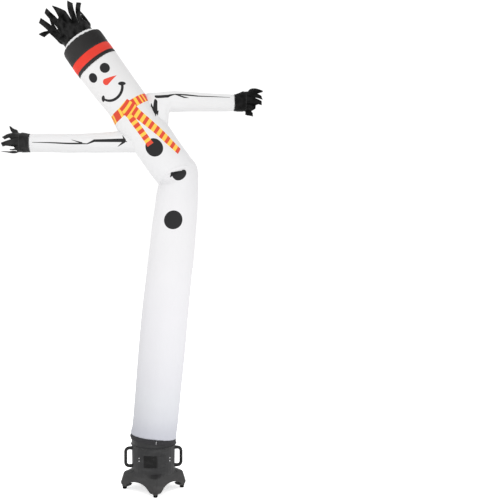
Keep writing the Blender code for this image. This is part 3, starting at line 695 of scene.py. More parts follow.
# %% Relief of the tube
TUBE_SWELLS = table(Swell, ((0.0034, 0, 11, 1.1), (0.0014, 7, 22, 4.0)))
AT_STRAP = Gathers(rise=0.0015, reach=0.045, count=23, wander=2.2, fine_round=9)
UNDER_HAT = Gathers(rise=0.0011, reach=0.016, count=37, wander=2.0, fine_round=16)
STRAP_Y = 0.055                 # flat y of the strap's middle
LETS_GO = (0.045, 0.11)         # flat y over which the strap lets go of the cloth
BACK_SEAM = table(Wave, (
    (0.000, 0.005, +0.0016),    # raised seam
    (0.014, 0.006, -0.0010),    # trough beside it
))


def tube_relief(x, y):
    move = ease(*LETS_GO, y) * sum(swelling(kind, x, y, TUBE_WIDTH) for kind in TUBE_SWELLS)
    # gathers at the strap and under the hat
    uneven = 0.6 + 0.6 * slow_noise(x, 9, TUBE_WIDTH, 12, 1)
    move += (gathering(AT_STRAP, x, TUBE_WIDTH, 4, abs(y - STRAP_Y)) * uneven
             * ease(0.0, 0.03, y))
    move += gathering(UNDER_HAT, x, TUBE_WIDTH, 2, TUBE_LENGTH - y)
    # seam at the back
    from_seam = TUBE_WIDTH / 2 - abs(x)
    move += sum(wave.rise * bell(from_seam - wave.above, wave.reach) for wave in BACK_SEAM)
    # armholes, creases and tuck
    for sleeve in SLEEVES:
        if abs(y - sleeve.hole_middle.y) < 0.3:
            move += pucker(sleeve, x, y)
    return move + sum(crease_depth(crease, x, y) for crease in TUBE_CREASES) + tuck_depth(x, y)


push_out(tube_shape, tube_relief)
for sleeve in SLEEVES:
    fit_sleeve(tube_shape, sleeve)
print("creases on the tube:", len(TUBE_CREASES))

# %% Cutting the armholes
HOLE_SHARE = 0.88       # the cut-out is smaller than the seam round it, as a seam needs cloth
RIM_SHARE = 1.3         # how far out the points on the cut edge are looked for


def cut_armhole(shape, sleeve):
    """Take out the cloth inside the seam and bring the cut edge into line."""
    keep_x, keep_y = flat_layers(shape)

    def share(vert):
        x, y = vert[keep_x], vert[keep_y]
        radius, _ = hole_radius(sleeve, x, y)
        away = math.hypot(x - sleeve.hole_middle.x, y - sleeve.hole_middle.y)
        return away / (radius * HOLE_SHARE)

    inside = [face for face in shape.faces if all(share(vert) < 1.0 for vert in face.verts)]
    bmesh.ops.delete(shape, geom=inside, context="FACES")
    rim = [vert for vert in shape.verts if vert.is_boundary and share(vert) < RIM_SHARE]
    for vert in rim:
        away = Vector((vert[keep_x], vert[keep_y])) - sleeve.hole_middle
        placed = sleeve.hole_middle + away / share(vert)
        vert[keep_x], vert[keep_y] = placed
        vert.co = tube_point(*placed)
    write_flat_map(shape, {face for vert in rim for face in vert.link_faces})
    return len(inside), len(rim)


for sleeve in SLEEVES:
    print(sleeve.name, "armhole: faces out and points on its edge",
          cut_armhole(tube_shape, sleeve))
tube = declare_sheet(line_cloth(add_piece("tube_cloth", tube_shape)), ["body_tube"],
                     (TUBE_WIDTH, TUBE_LENGTH))

# %% [markdown]
# ## Sewing the sleeves on
# The sleeves carry the same kinds of relief. They run a little way into the tube, where the
# seam allowance lies, and end in a narrow hem that the cuff is sewn over.

# %% Relief of a sleeve
LEFT_CREASES = table(Crease, (
    (0.045, 0.12, 0.030, 0.46, 0.011, 0.0022),
    (-0.055, 0.16, -0.046, 0.62, 0.012, 0.0022),
    (0.062, 0.50, 0.050, 0.78, 0.010, 0.0020),
    (-0.018, 0.10, -0.030, 0.34, 0.010, 0.0015),
    (-0.080, 0.08, -0.060, 0.24, 0.010, 0.0024),
    (0.150, 0.20, 0.160, 0.60, 0.012, 0.0024),
    (-0.140, 0.30, -0.150, 0.72, 0.012, 0.0024),
))
RIGHT_CREASES = table(Crease, (
    (0.072, 0.26, 0.060, 0.74, 0.007, 0.0022),
    (-0.070, 0.30, -0.066, 0.76, 0.007, 0.0022),
    (-0.020, 0.22, -0.040, 0.36, 0.010, 0.0018),
    (0.020, 0.36, 0.010, 0.66, 0.012, 0.0014),
    (-0.050, 0.14, -0.010, 0.26, 0.009, 0.0030),
    (0.140, 0.25, 0.150, 0.60, 0.012, 0.0024),
    (-0.140, 0.28, -0.150, 0.66, 0.012, 0.0024),
))
SLEEVE_HEM = 0.020
SLEEVE_SWELL = Swell(rise=0.0022, shift=0, fine_round=16, fine_along=2.2)
SLEEVE_UNEVEN = Swell(rise=0.0009, shift=5, fine_round=45, fine_along=7.0)
AT_ROOT = Gathers(rise=0.0024, reach=0.035, count=11, wander=2.5, fine_round=20, lift=0.2)
AT_CUFF = Gathers(rise=0.0010, reach=0.030, count=17, wander=2.5, fine_round=20)


def sleeve_relief(sleeve, creases, shift):
    """A function that gives this sleeve's relief at a flat place."""
    width, length = sleeve.width, sleeve.length
    pitch = width / SLEEVE_COLUMNS

    def relief(x, y):
        column = min(round((x + width / 2) / pitch), SLEEVE_COLUMNS)
        from_root, to_cuff = y - sleeve.roots[column], length - y
        move = swelling(SLEEVE_SWELL, x, y + shift, width) * ease(0.0, 0.03, from_root)
        move += swelling(SLEEVE_UNEVEN, x, y + shift, width)
        # gathers at the root and at the cuff
        move += (gathering(AT_ROOT, x, width, shift, max(from_root, 0.0))
                 * ease(-0.004, 0.010, from_root))
        move += gathering(AT_CUFF, x, width, shift, to_cuff)
        # the hem's stitched line, its end inside the cuff, and the seam underneath
        move -= 0.0018 * bell(to_cuff - SLEEVE_HEM, 0.004)
        move -= 0.0022 * (1 - ease(0.004, 0.012, to_cuff))
        move += 0.0010 * bell(width / 2 - abs(x), 0.004)
        return move + sum(crease_depth(crease, x, y) for crease in creases)

    return relief


# %% Sewing a sleeve
SLEEVE_ROWS = 116


def sew_sleeve(sleeve, creases, shift, node):
    heads = [root - SEAM_ALLOWANCE for root in sleeve.roots]
    shape = new_cloth()
    rows = steps(0, sleeve.length, SLEEVE_ROWS)
    add_cut(shape, sleeve.columns, rows, sleeve.point, low_edge=heads)
    sew(shape)
    push_out(shape, sleeve_relief(sleeve, creases, shift))
    longest = sleeve.length - min(heads)
    return declare_sheet(line_cloth(add_piece(sleeve.name, shape)), [node],
                         (sleeve.width, longest))


sleeve_left = sew_sleeve(left_sleeve, LEFT_CREASES, shift=21.0, node="arm_left")
sleeve_right = sew_sleeve(right_sleeve, RIGHT_CREASES, shift=33.0, node="arm_right")

# %% [markdown]
# ## Cuffs
# The hands start as short black cuffs, sewn over the ends of the sleeves. They flare towards
# the fringe of fingers, because nothing but the leaving air holds them open.

# %% Cuffs
LEFT_CUFF = table(Oval, (
    (-0.8453, 2.4210, -0.8453, 2.2975, 0.0612),
    (-0.8700, 2.4255, -0.8700, 2.2975, 0.0620),
    (-0.8950, 2.4290, -0.8950, 2.2965, 0.0640),
    (-0.9000, 2.4290, -0.9000, 2.2965, 0.0640),
))
RIGHT_CUFF = table(Oval, (
    (+0.5523, 2.6900, 0.5523, 2.5790, 0.0550),
    (+0.5850, 2.7010, 0.5850, 2.5775, 0.0590),
    (+0.6100, 2.7120, 0.6100, 2.5760, 0.0620),
    (+0.6150, 2.7120, 0.6150, 2.5760, 0.0620),
))
CUFF_COLUMNS, CUFF_ROWS = 84, 24


CUFF_GATHERS = Gathers(rise=0.0012, reach=0.020, count=13, wander=3.0, fine_round=26)
CUFF_SWELL = Swell(rise=0.0042, shift=0, fine_round=30, fine_along=9.0)


def sew_cuff(name, rows, width, shift, node):
    cuff = Sleeve(name, rows, width)
    shape = new_cloth()
    columns = steps(-width / 2, width / 2, CUFF_COLUMNS)
    add_cut(shape, columns, steps(0, cuff.length, CUFF_ROWS), cuff.point)
    sew(shape)

    def relief(x, y):
        move = gathering(CUFF_GATHERS, x, width, shift, y)
        move += swelling(CUFF_SWELL, x, y + shift, width) * ease(0.0, 0.03, y)
        return move + 0.0012 * ease(0.004, 0.0, y)

    push_out(shape, relief)
    return declare_sheet(line_cloth(add_piece(name, shape)), [node],
                         (width, cuff.length))


cuff_left = sew_cuff("cuff_left", LEFT_CUFF, LEFT_WIDTH, shift=41.0, node="hand_left")
cuff_right = sew_cuff("cuff_right", RIGHT_CUFF, RIGHT_WIDTH, shift=52.0, node="hand_right")

# %% [markdown]
# ## Hat
# The hat is no separate hat but the tube's top end in other colours: a narrow black edge, a red
# band and a black crown, each cut as a strip and sewn end to end. Seen side on, the crown's
# shoulder is where the wide tube is gathered to the narrower white hem that holds the hair.
# A profile of heights and radii gives the shape, and the rolled strips follow it.

# %% The line that the hat follows
HatRing = namedtuple("HatRing", "height radius")
HAT_LEAN_START, HAT_LEAN_END = 37.0, 34.0       # degrees to the left, at its edge and its top
HAT_LOW, HAT_EDGE_TOP, HAT_BAND_TOP, HAT_TOP = -0.0117, 0.0120, 0.0725, 0.1920
HAT_R = 0.1510
STRIP_CLEARANCE = 0.0003    # between two strips, as between the solids
EDGE_PROFILE = (HatRing(HAT_LOW, HAT_R), HatRing(HAT_EDGE_TOP, HAT_R))
BAND_PROFILE = (HatRing(HAT_EDGE_TOP + STRIP_CLEARANCE, HAT_R), HatRing(HAT_BAND_TOP, HAT_R))
TOP_PROFILE = table(HatRing, (
    (HAT_BAND_TOP + STRIP_CLEARANCE, HAT_R),
    (0.095, 0.1513),
    (0.120, 0.1515),
    (0.145, 0.1513),
    (0.165, 0.1505),
    (0.178, 0.1475),
    (0.186, 0.1400),
    (HAT_TOP, 0.1240),
))
HEM_PROFILE = table(HatRing, (
    (0.1790, 0.1410),
    (0.1860, 0.1345),
    (0.1905, 0.1255),
    (0.1960, 0.1190),
    (0.2030, 0.1150),
    (0.2110, 0.1125),
))
hat_base = from_axis(-0.3850, 0, 2.8994)


def hat_frame(height):
    """Middle of the hat at a height above its lower edge, and its two directions there."""
    share = min(height / HAT_TOP, 1.0)
    lean = math.radians(blend(HAT_LEAN_START, HAT_LEAN_END, share))
    half = math.radians(blend(HAT_LEAN_START, HAT_LEAN_END, share / 2))
    middle = hat_base + Vector((-math.sin(half), 0, math.cos(half))) * height
    across = Vector((math.cos(lean), 0, math.sin(lean)))
    along = Vector((-math.sin(lean), 0, math.cos(lean)))
    return middle, across, along


def profile_distance(first, second):
    """How far apart two rings of a profile are, along the cloth."""
    return math.hypot(first.height - second.height, first.radius - second.radius)


# %% Strips of the hat
HAT_COLUMNS = 132


def sew_hat_part(name, profile, rows, width, relief, node, teeth=None):
    lengths = lengths_along(profile, profile_distance)

    def point(x, y):
        height, radius = smooth_row(profile, lengths, y)
        middle, across, _ = hat_frame(height)
        angle = angle_of(x, width)
        return middle + across * (radius * math.cos(angle)) + Vector(
            (0, radius * math.sin(angle), 0))

    columns = steps(-width / 2, width / 2, HAT_COLUMNS)
    high_edge = [lengths[-1] + teeth(x) for x in columns] if teeth else None
    shape = new_cloth()
    add_cut(shape, columns, steps(0, lengths[-1], rows), point, high_edge=high_edge)
    sew(shape)
    push_out(shape, lambda x, y: relief(x, y, lengths[-1]))
    return declare_sheet(line_cloth(add_piece(name, shape)), [node],
                         (width, lengths[-1]))


# %% Relief of the hat
HAT_WIDTH, TOP_HEM_WIDTH = 0.949, 0.740
STRIP_SWELL = Swell(rise=0.0012, shift=61, fine_round=22, fine_along=8)
CROWN_SWELL = Swell(rise=0.0024, shift=81, fine_round=16, fine_along=7)
CROWN_GATHERS = Gathers(rise=0.0042, reach=0.022, count=21, wander=3.0, fine_round=12, lift=0.15)
CROWN_SHIFT = 71
HEM_GATHERS = Gathers(rise=0.0014, reach=math.inf, count=27, wander=3.0, fine_round=16)
STRIP_BULGE, HEM_BULGE = 0.0016, 0.0012         # metres, midway between two seams
TOOTH_ROOT, TOOTH_DEPTH = -0.009, 0.008


def seam_relief(x, y, length):
    """A strip between two seams swells a little between them."""
    bulge = STRIP_BULGE * math.sin(math.pi * min(max(y / length, 0.0), 1.0))
    return bulge + swelling(STRIP_SWELL, x, y, HAT_WIDTH)


def crown_relief(x, y, length):
    uneven = 0.5 + 0.7 * slow_noise(x, 77, HAT_WIDTH, 16, 1)
    from_top = max(length - y, 0.0)
    move = (uneven * gathering(CROWN_GATHERS, x, HAT_WIDTH, CROWN_SHIFT, from_top)
            * ease(0, 0.03, y))
    return move + swelling(CROWN_SWELL, x, y, HAT_WIDTH) * ease(0.0, 0.02, y)


def crown_teeth(x):
    """How far the crown's gathered top edge ends from its line; each gather is a tooth."""
    tooth = max(ripples(CROWN_GATHERS, x, HAT_WIDTH, CROWN_SHIFT), 0.0) ** 2
    uneven = 0.6 + slow_noise(x, 88, HAT_WIDTH, 20, 1)
    return TOOTH_ROOT - TOOTH_DEPTH * tooth * uneven


def hem_relief(x, y, length):
    bulge = HEM_BULGE * math.sin(math.pi * min(y / length, 1.0))
    return gathering(HEM_GATHERS, x, TOP_HEM_WIDTH, 91, y) * ease(0.0, 0.01, y) + bulge


# %% Sewing the hat
hat_edge = sew_hat_part("hat_edge_cloth", EDGE_PROFILE, 6, HAT_WIDTH, seam_relief,
                        "hat_edge")
hat_band = sew_hat_part("hat_band_cloth", BAND_PROFILE, 14, HAT_WIDTH, seam_relief,
                        "hat_band")
hat_crown = sew_hat_part("hat_crown_cloth", TOP_PROFILE, 44, HAT_WIDTH, crown_relief,
                         "hat_crown", crown_teeth)
top_hem = sew_hat_part("top_hem_cloth", HEM_PROFILE, 12, TOP_HEM_WIDTH, hem_relief,
                       "top_hem")

# %% [markdown]
# ## Fringes
# Hair and fingers are fringes: one strip of black cloth is closed into a ring and cut into
# ribbons from its free side down to a narrow band. Next to the band the ribbons still lie side
# by side. Further out each follows a curve of its own to its tip, narrows, twists, and curls
# across its width. A ribbon's knee says how far it runs straight on before it turns to its tip,
# as a share of its reach, and its lean moves that knee sideways.

# %% Tables of the fringes
Ribbon = namedtuple("Ribbon", "side depth rise middle tip twist knee lean", defaults=(0.45, 0.0))
HAIR = table(Ribbon, (
    (+0.104, +0.010, 0.122, 0.026, 0.014, 0.8),
    (+0.112, +0.070, 0.108, 0.036, 0.022, 0.6),
    (+0.098, +0.130, 0.116, 0.040, 0.030, 0.4),
    (+0.078, +0.168, 0.132, 0.044, 0.032, 0.2),
    (+0.040, +0.190, 0.146, 0.046, 0.034, 0.1),
    (+0.002, +0.200, 0.176, 0.046, 0.020, 0.0),
    (-0.034, +0.190, 0.158, 0.046, 0.034, 0.1),
    (-0.080, +0.170, 0.190, 0.040, 0.026, 0.2),
    (-0.200, +0.040, 0.167, 0.010, 0.052, 1.0, 1.00),
    (-0.085, +0.030, 0.235, 0.026, 0.016, 0.9, 0.50),
    (-0.146, -0.010, 0.164, 0.026, 0.018, 0.9, 0.40),
    (-0.156, -0.070, 0.228, 0.044, 0.038, 0.9, 0.45),
    (-0.138, -0.100, 0.120, 0.038, 0.012, 0.5, 0.30),
    (-0.090, -0.090, 0.254, 0.044, 0.038, 0.4, 0.60),
    (-0.056, -0.120, 0.150, 0.052, 0.036, 0.1),
    (-0.033, -0.130, 0.243, 0.064, 0.005, 0.0, 0.62),
    (+0.078, -0.120, 0.200, 0.042, 0.037, 0.0, 0.68),
    (+0.128, -0.080, 0.176, 0.036, 0.034, 0.2, 0.62),
    (+0.070, -0.090, 0.088, 0.040, 0.024, 0.3),
    (+0.110, -0.030, 0.141, 0.024, 0.005, 0.9, 0.50),
))
LEFT_FINGERS = table(Ribbon, (
    (+0.109, -0.020, 0.074, 0.030, 0.008, 0.9, 0.60),
    (+0.044, +0.050, 0.100, 0.036, 0.022, 0.6),
    (+0.000, +0.068, 0.112, 0.038, 0.026, 0.1),
    (-0.015, +0.050, 0.050, 0.034, 0.020, 0.5),
    (-0.062, +0.000, 0.140, 0.013, 0.003, 0.5),
    (-0.060, -0.050, 0.067, 0.012, 0.008, 0.2),
    (-0.024, -0.070, 0.120, 0.034, 0.028, 0.1),
    (+0.027, -0.055, 0.115, 0.036, 0.030, 0.4),
))
RIGHT_FINGERS = table(Ribbon, (
    (+0.064, -0.010, 0.128, 0.040, 0.010, 0.9, 0.55, 0.008),
    (+0.046, +0.050, 0.100, 0.036, 0.026, 0.6),
    (+0.004, +0.060, 0.112, 0.038, 0.028, 0.1),
    (-0.026, +0.050, 0.086, 0.036, 0.026, 0.5),
    (-0.096, -0.010, 0.061, 0.042, 0.018, 0.9, 0.25),
    (-0.057, -0.050, 0.060, 0.036, 0.030, 0.6),
    (-0.024, -0.060, 0.113, 0.038, 0.026, 0.1),
    (+0.016, -0.050, 0.119, 0.038, 0.022, 0.5),
))
print("ribbons:", len(HAIR), "of hair,", len(LEFT_FINGERS) + len(RIGHT_FINGERS), "fingers")

# %% How a ribbon runs
BACK = Vector((0, 1, 0))
BROADEST = 0.6          # share of a ribbon's length at which it has its middle width
SLACK = 1.06            # a ribbon's length, as a share of the straight way to its tip
BLUNT_TIP = 0.04        # tips from this width on are cut nearly straight
FREE_FROM = 0.28        # share of a ribbon's length past which it follows only its own curve
RIBBON_COLUMNS, RIBBON_ROWS, BAND_ROWS = 6, 30, 4
TUCKED_IN = 0.006       # the band goes on this far inside the cloth that holds it

Ring = namedtuple("Ring", "middle side rise side_radius depth_radius length")


class RibbonCourse:
    """One ribbon's curve, from its root on the ring to its tip."""

    def __init__(self, ring, ribbon, angle, pitch, chance):
        self.ring, self.ribbon, self.angle, self.pitch = ring, ribbon, angle, pitch
        self.root = self.on_ring(0.0, ring.length / 2)
        self.tip = (ring.middle + ring.side * ribbon.side + BACK * ribbon.depth
                    + ring.rise * ribbon.rise)
        reach = (self.tip - self.root).length
        self.knee = self.root + ring.rise * reach * ribbon.knee + ring.side * ribbon.lean
        self.length = SLACK * reach
        self.root_width = pitch * (ring.side_radius + ring.depth_radius) / 2
        self.tangent = BACK * math.cos(angle) - ring.side * math.sin(angle)
        self.handed = 1.0 if ring.side.cross(BACK).dot(ring.rise) > 0 else -1.0
        self.faced = self.handed * (1.0 if math.sin(angle) <= 0.0001 else -1.0)
        self.cup = chance.uniform(0.10, 0.34) * chance.choice((1, 1, -1))
        self.wave = chance.uniform(0.002, 0.005) * chance.choice((1, -1))
        self.phase = chance.uniform(0, math.tau)
        self.curl = chance.uniform(-0.010, 0.010)
        self.slant = chance.uniform(-0.10, 0.10) * (1.0 if ribbon.tip < BLUNT_TIP else 0.15)
        self.roll = chance.uniform(-0.4, 0.4)

    def on_ring(self, u, rise):
        """A point on the band, u pitches beside this ribbon's middle."""
        angle = self.angle + u * self.pitch
        return (self.ring.middle + self.ring.side * math.cos(angle) * self.ring.side_radius
                + BACK * math.sin(angle) * self.ring.depth_radius + self.ring.rise * rise)

    def width(self, share):
        if share <= BROADEST:
            return blend(self.root_width, self.ribbon.middle, share / BROADEST)
        return blend(self.ribbon.middle, self.ribbon.tip, (share - BROADEST) / (1 - BROADEST))

    def point(self, u, y):
        if y <= 0.0:
            return self.on_ring(u, self.ring.length / 2 + y)
        share = y / self.length
        share *= 1 + self.slant * u * 2 * ease(0.6, 1.0, share)
        out = min(share, 1.05)
        middle = (self.root * (1 - out) ** 2 + self.knee * 2 * out * (1 - out)
                  + self.tip * out ** 2)
        along = ((self.knee - self.root) * (1 - out) + (self.tip - self.knee) * out).normalized()
        across = self.tangent.lerp(BACK.cross(along).normalized() * self.faced,
                                   self.ribbon.twist * ease(0.0, 0.5, out))
        across = (across - along * across.dot(along)).normalized()
        face = across.cross(along) * self.handed
        turn = self.roll * out * out
        across, face = (across * math.cos(turn) + face * math.sin(turn),
                        face * math.cos(turn) - across * math.sin(turn))
        width = self.width(out)
        lift = self.wave * math.sin(out * 7.0 + self.phase) * ease(0.1, 0.6, out)
        lift += self.curl * ease(0.7, 1.0, out) ** 2
        lift += width * self.cup * (0.5 - 2 * u * u) * ease(0.05, 0.5, out)
        free = middle + across * (width * u) + face * lift
        bound = self.on_ring(u, self.ring.length / 2 + y)
        return bound.lerp(free, ease(0.0, FREE_FROM, out))


# %% Cutting a fringe
FRINGE_THICKNESS = 0.0008


def cut_fringe(name, ring, ribbons, seed, node):
    chance = random.Random(seed)
    pitch = math.tau / len(ribbons)
    band = ring.length + TUCKED_IN
    shape = new_cloth()
    area = longest = 0.0
    for number, ribbon in enumerate(ribbons):
        course = RibbonCourse(ring, ribbon, pitch * number, pitch, chance)

        def flat(u, y, course=course, number=number):
            width = course.width(min(max(y / course.length, 0.0), 1.0))
            return number * course.root_width + u * width, y

        rows = steps(-band, 0.0, BAND_ROWS)[:-1] + steps(0.0, course.length, RIBBON_ROWS)
        add_cut(shape, steps(-0.5, 0.5, RIBBON_COLUMNS), rows, course.point, flat=flat)
        area += course.root_width * band + course.length * (
            BROADEST * (course.root_width + ribbon.middle)
            + (1 - BROADEST) * (ribbon.middle + ribbon.tip)) / 2
        longest = max(longest, course.length)
    sew(shape)
    piece = line_cloth(add_piece(name, shape), FRINGE_THICKNESS, offset=0.0)
    flat = (math.tau * (ring.side_radius + ring.depth_radius) / 2, band + longest)
    return declare_sheet(piece, [node], flat)


# %% Hair
HAIR_LOW, HAIR_HIGH, HAIR_R = 0.2114, 0.2230, 0.1105
hair_middle, hair_across, hair_along = hat_frame((HAIR_LOW + HAIR_HIGH) / 2)
hair_ring = Ring(hair_middle, hair_across, hair_along, HAIR_R, HAIR_R, HAIR_HIGH - HAIR_LOW)
hair = cut_fringe("hair", hair_ring, HAIR, seed=11, node="hair_fringe")

# %% Fingers
FINGER_BAND, FINGER_INSET, CUFF_CLEARANCE = 0.009, 0.00125, 0.0003


def finger_ring(end, outward):
    """The ring on which a cuff's last section carries its fingers."""
    middle = from_axis(end.top_x + outward * (CUFF_CLEARANCE + FINGER_BAND / 2), 0,
                       (end.top_z + end.bottom_z) / 2)
    return Ring(middle, Vector((0, 0, 1)), Vector((outward, 0, 0)),
                (end.top_z - end.bottom_z) / 2 - FINGER_INSET, end.depth - FINGER_INSET,
                FINGER_BAND)


fingers_left = cut_fringe("fingers_left_cloth", finger_ring(LEFT_CUFF[-1], -1),
                          LEFT_FINGERS, seed=23, node="fingers_left")
fingers_right = cut_fringe("fingers_right_cloth", finger_ring(RIGHT_CUFF[-1], 1),
                           RIGHT_FINGERS, seed=35, node="fingers_right")

# %% [markdown]
# ## Collar strap
# A webbing strap goes once round the collar, over the hem, and its end is laid over its start
# and stitched down. It is modelled directly, as a flat strip wound into a spiral of a little
# over one turn, because a simulated strap would only come out the same with less control. It
# sits askew, higher on the left and at the front, and bulges where it crosses the collar's rings.

# %% Collar strap
STRAP_LOW, STRAP_HIGH, STRAP_SLANT = 0.3235, 0.3555, 6.6
STRAP_INNER_R, STRAP_THICKNESS, STRAP_CLEARANCE = 0.1521, 0.0025, 0.0002
STRAP_END = 278.2           # degrees round the axis where the outer end lies
STRAP_OVERLAP = 20.0        # degrees by which the end lies over the start
STRAP_COLUMNS, STRAP_ROWS = 150, 12
COLLAR_BEADS = (0.304, 0.358)       # heights of the collar's two raised rings
BEAD_RISE, BEAD_REACH = 0.0052, 0.0065      # how far a ring pushes the strap out, and where
strap_length = math.radians(360.0 + STRAP_OVERLAP) * STRAP_INNER_R


def strap_point(x, y):
    turned = math.degrees(x / STRAP_INNER_R)
    angle = math.radians(STRAP_END - 360.0 - STRAP_OVERLAP + turned)
    edge = min(y, STRAP_HIGH - STRAP_LOW - y)
    height = STRAP_LOW + y + 0.0004 * noise.noise(Vector((turned * 0.06, edge * 20, 5.0)))
    height -= STRAP_INNER_R * math.cos(angle) * math.tan(math.radians(STRAP_SLANT))
    height -= HEM_TILT * math.sin(angle)
    on_top = ease(354.0, 364.0, turned)     # 1 where the strap lies over its own start
    radius = STRAP_INNER_R + on_top * (STRAP_THICKNESS + STRAP_CLEARANCE)
    radius += BEAD_RISE * sum(bell(height - bead, BEAD_REACH) for bead in COLLAR_BEADS)
    return from_axis(radius * math.cos(angle), radius * math.sin(angle), height)


strap_shape = new_cloth()
add_cut(strap_shape, steps(0, strap_length, STRAP_COLUMNS),
        steps(0, STRAP_HIGH - STRAP_LOW, STRAP_ROWS), strap_point)
bmesh.ops.recalc_face_normals(strap_shape, faces=strap_shape.faces)
outward = sum(face.normal.dot(face.calc_center_median() - from_axis(0, 0, STRAP_LOW))
              for face in strap_shape.faces)
if outward < 0:
    bmesh.ops.reverse_faces(strap_shape, faces=strap_shape.faces)
strap = line_cloth(add_piece("strap_webbing", strap_shape), STRAP_THICKNESS, 1.0)
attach(strap, "root")
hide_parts("collar_strap")
print("strap:", round(strap_length, 3), "m of webbing")

# %% [markdown]
# ## Building finishes
# Each finish is a small web of shader nodes, and each effect that several finishes share, such
# as a weave or a printed shape, is a node group that is built once. A board is only a short way
# to add nodes to such a web: it fills a node's sockets with values, or links them.

# %% A board for shader nodes
class Board:
    """A web of shader nodes, with short ways to add to it."""

    def __init__(self, tree):
        self.tree, self.count = tree, 0

    def add(self, kind, values=(), **settings):
        node = self.tree.nodes.new(kind)
        node.location = (self.count % 10 * 190 - 2200, 400 - self.count // 10 * 280)
        self.count += 1
        for name, value in settings.items():
            setattr(node, name, value)
        for socket, value in zip(node.inputs, values):
            self.fill(socket, value)
        return node

    def fill(self, socket, value):
        if isinstance(value, bpy.types.NodeSocket):
            self.tree.links.new(value, socket)
        elif value is not None:
            socket.default_value = value

    def calc(self, operation, *values, clamp=False):
        return self.add("ShaderNodeMath", values, operation=operation, use_clamp=clamp).outputs[0]

    def plus(self, first, second):
        return self.calc("ADD", first, second)

    def minus(self, first, second):
        return self.calc("SUBTRACT", first, second)

    def times(self, first, second):
        return self.calc("MULTIPLY", first, second)

    def over(self, first, second):
        return self.calc("DIVIDE", first, second)

    def below(self, value, limit):
        return self.calc("LESS_THAN", value, limit)

    def size(self, value):
        return self.calc("ABSOLUTE", value)

    def highest(self, masks):
        """One mask that is as high everywhere as the highest of several."""
        top = 0.0
        for mask in masks:
            top = self.calc("MAXIMUM", top, mask)
        return top

    def vector(self, operation, *values):
        node = self.add("ShaderNodeVectorMath", values, operation=operation)
        is_number = operation in ("LENGTH", "DOT_PRODUCT", "DISTANCE")
        return node.outputs["Value" if is_number else "Vector"]

    def scaled(self, vector, amount):
        node = self.add("ShaderNodeVectorMath", (vector,), operation="SCALE")
        self.fill(node.inputs["Scale"], amount)
        return node.outputs["Vector"]

    def parts(self, vector):
        return self.add("ShaderNodeSeparateXYZ", (vector,)).outputs

    def mix(self, factor, first, second):
        """The first colour where the factor is 0, and the second where it is 1."""
        node = self.add("ShaderNodeMix", data_type="RGBA")
        for index, value in ((0, factor), (6, first), (7, second)):     # 6 and 7 are A and B
            self.fill(node.inputs[index], value)
        return node.outputs[2]

    def noise(self, place, scale, detail=3.0):
        node = self.add("ShaderNodeTexNoise")
        self.fill(node.inputs["Vector"], place)
        self.fill(node.inputs["Scale"], scale)
        self.fill(node.inputs["Detail"], detail)
        return node.outputs["Fac"]

    def reach(self, value, low, high, to_low, to_high):
        node = self.add("ShaderNodeMapRange", (value, low, high, to_low, to_high))
        return node.outputs["Result"]

    def ramp(self, place, stops, interpolation="LINEAR"):
        """Colours along a line from 0 to 1; each stop is a place and a colour."""
        node = self.add("ShaderNodeValToRGB", (place,))
        node.color_ramp.interpolation = interpolation
        elements = node.color_ramp.elements
        for index, (at, colour) in enumerate(stops):
            stop = elements[index] if index < 2 else elements.new(1.0)
            stop.position, stop.color = at, (*colour, 1)
        return node.outputs["Color"]

    def use(self, group, **values):
        node = self.add("ShaderNodeGroup", node_tree=group)
        for name, value in values.items():
            self.fill(node.inputs[name.replace("_", " ")], value)
        return node.outputs

    def flat_place(self):
        """Where a point of the cloth lies on its flat cut, in metres."""
        return self.add("ShaderNodeUVMap", uv_map="flat").outputs["UV"]

    def object_place(self):
        return self.add("ShaderNodeTexCoord").outputs["Object"]


SOCKETS = {"number": "NodeSocketFloat", "place": "NodeSocketVector"}


def start_group(name, inputs, outputs):
    """An empty node group; inputs and outputs are written as 'Label kind' words."""
    group = bpy.data.node_groups.new(name, "ShaderNodeTree")
    for in_out, labels in (("INPUT", inputs), ("OUTPUT", outputs)):
        for words in labels:
            label, kind = words.rsplit(" ", 1)
            group.interface.new_socket(name=label, in_out=in_out, socket_type=SOCKETS[kind])
    given = group.nodes.new("NodeGroupInput").outputs
    result = group.nodes.new("NodeGroupOutput").inputs
    return Board(group), given, result, group


# %% [markdown]
# ## Weave, unevenness and stitching
# Coated nylon is a plain weave: threads go over and under each other, so close up it is a tiny
# chequer of bumps. From further away you see only that the cloth isn't quite even in tone, so
# a second group gives slow patches. A third gives one row of stitches beside a seam.

# %% Weave
board, given, result, WEAVE = start_group(
    "weave", ("Flat place", "Pitch number"), ("Height number", "Shade number"))
pitch = board.add("ShaderNodeCombineXYZ", (given["Pitch"], given["Pitch"], 1.0)).outputs[0]
x, y, _ = board.parts(board.vector("DIVIDE", given["Flat"], pitch))
over = board.calc("SINE", board.times(x, math.tau))
under = board.calc("SINE", board.times(y, math.tau))
checks = board.times(over, under)
board.fill(result["Height"], board.calc("MULTIPLY_ADD", checks, 0.5, 0.5))
board.fill(result["Shade"], board.reach(board.noise(given["Flat"], 260.0, 2.0),
                                        0.3, 0.7, 0.965, 1.0))

# %% Patches of tone
board, given, result, PATCHES = start_group(
    "patches of tone", ("Place place", "Scale number", "Least number"), ("Tone number",))
slow = board.noise(given["Place"], given["Scale"])
board.fill(result["Tone"], board.reach(slow, 0.35, 0.65, given["Least"], 1.0))

# %% Row of stitches
STITCH_PITCH = 0.004
STITCH_SHARE = 0.68         # of the pitch; the rest is the space between two stitches
THREAD_HALF = 0.0006

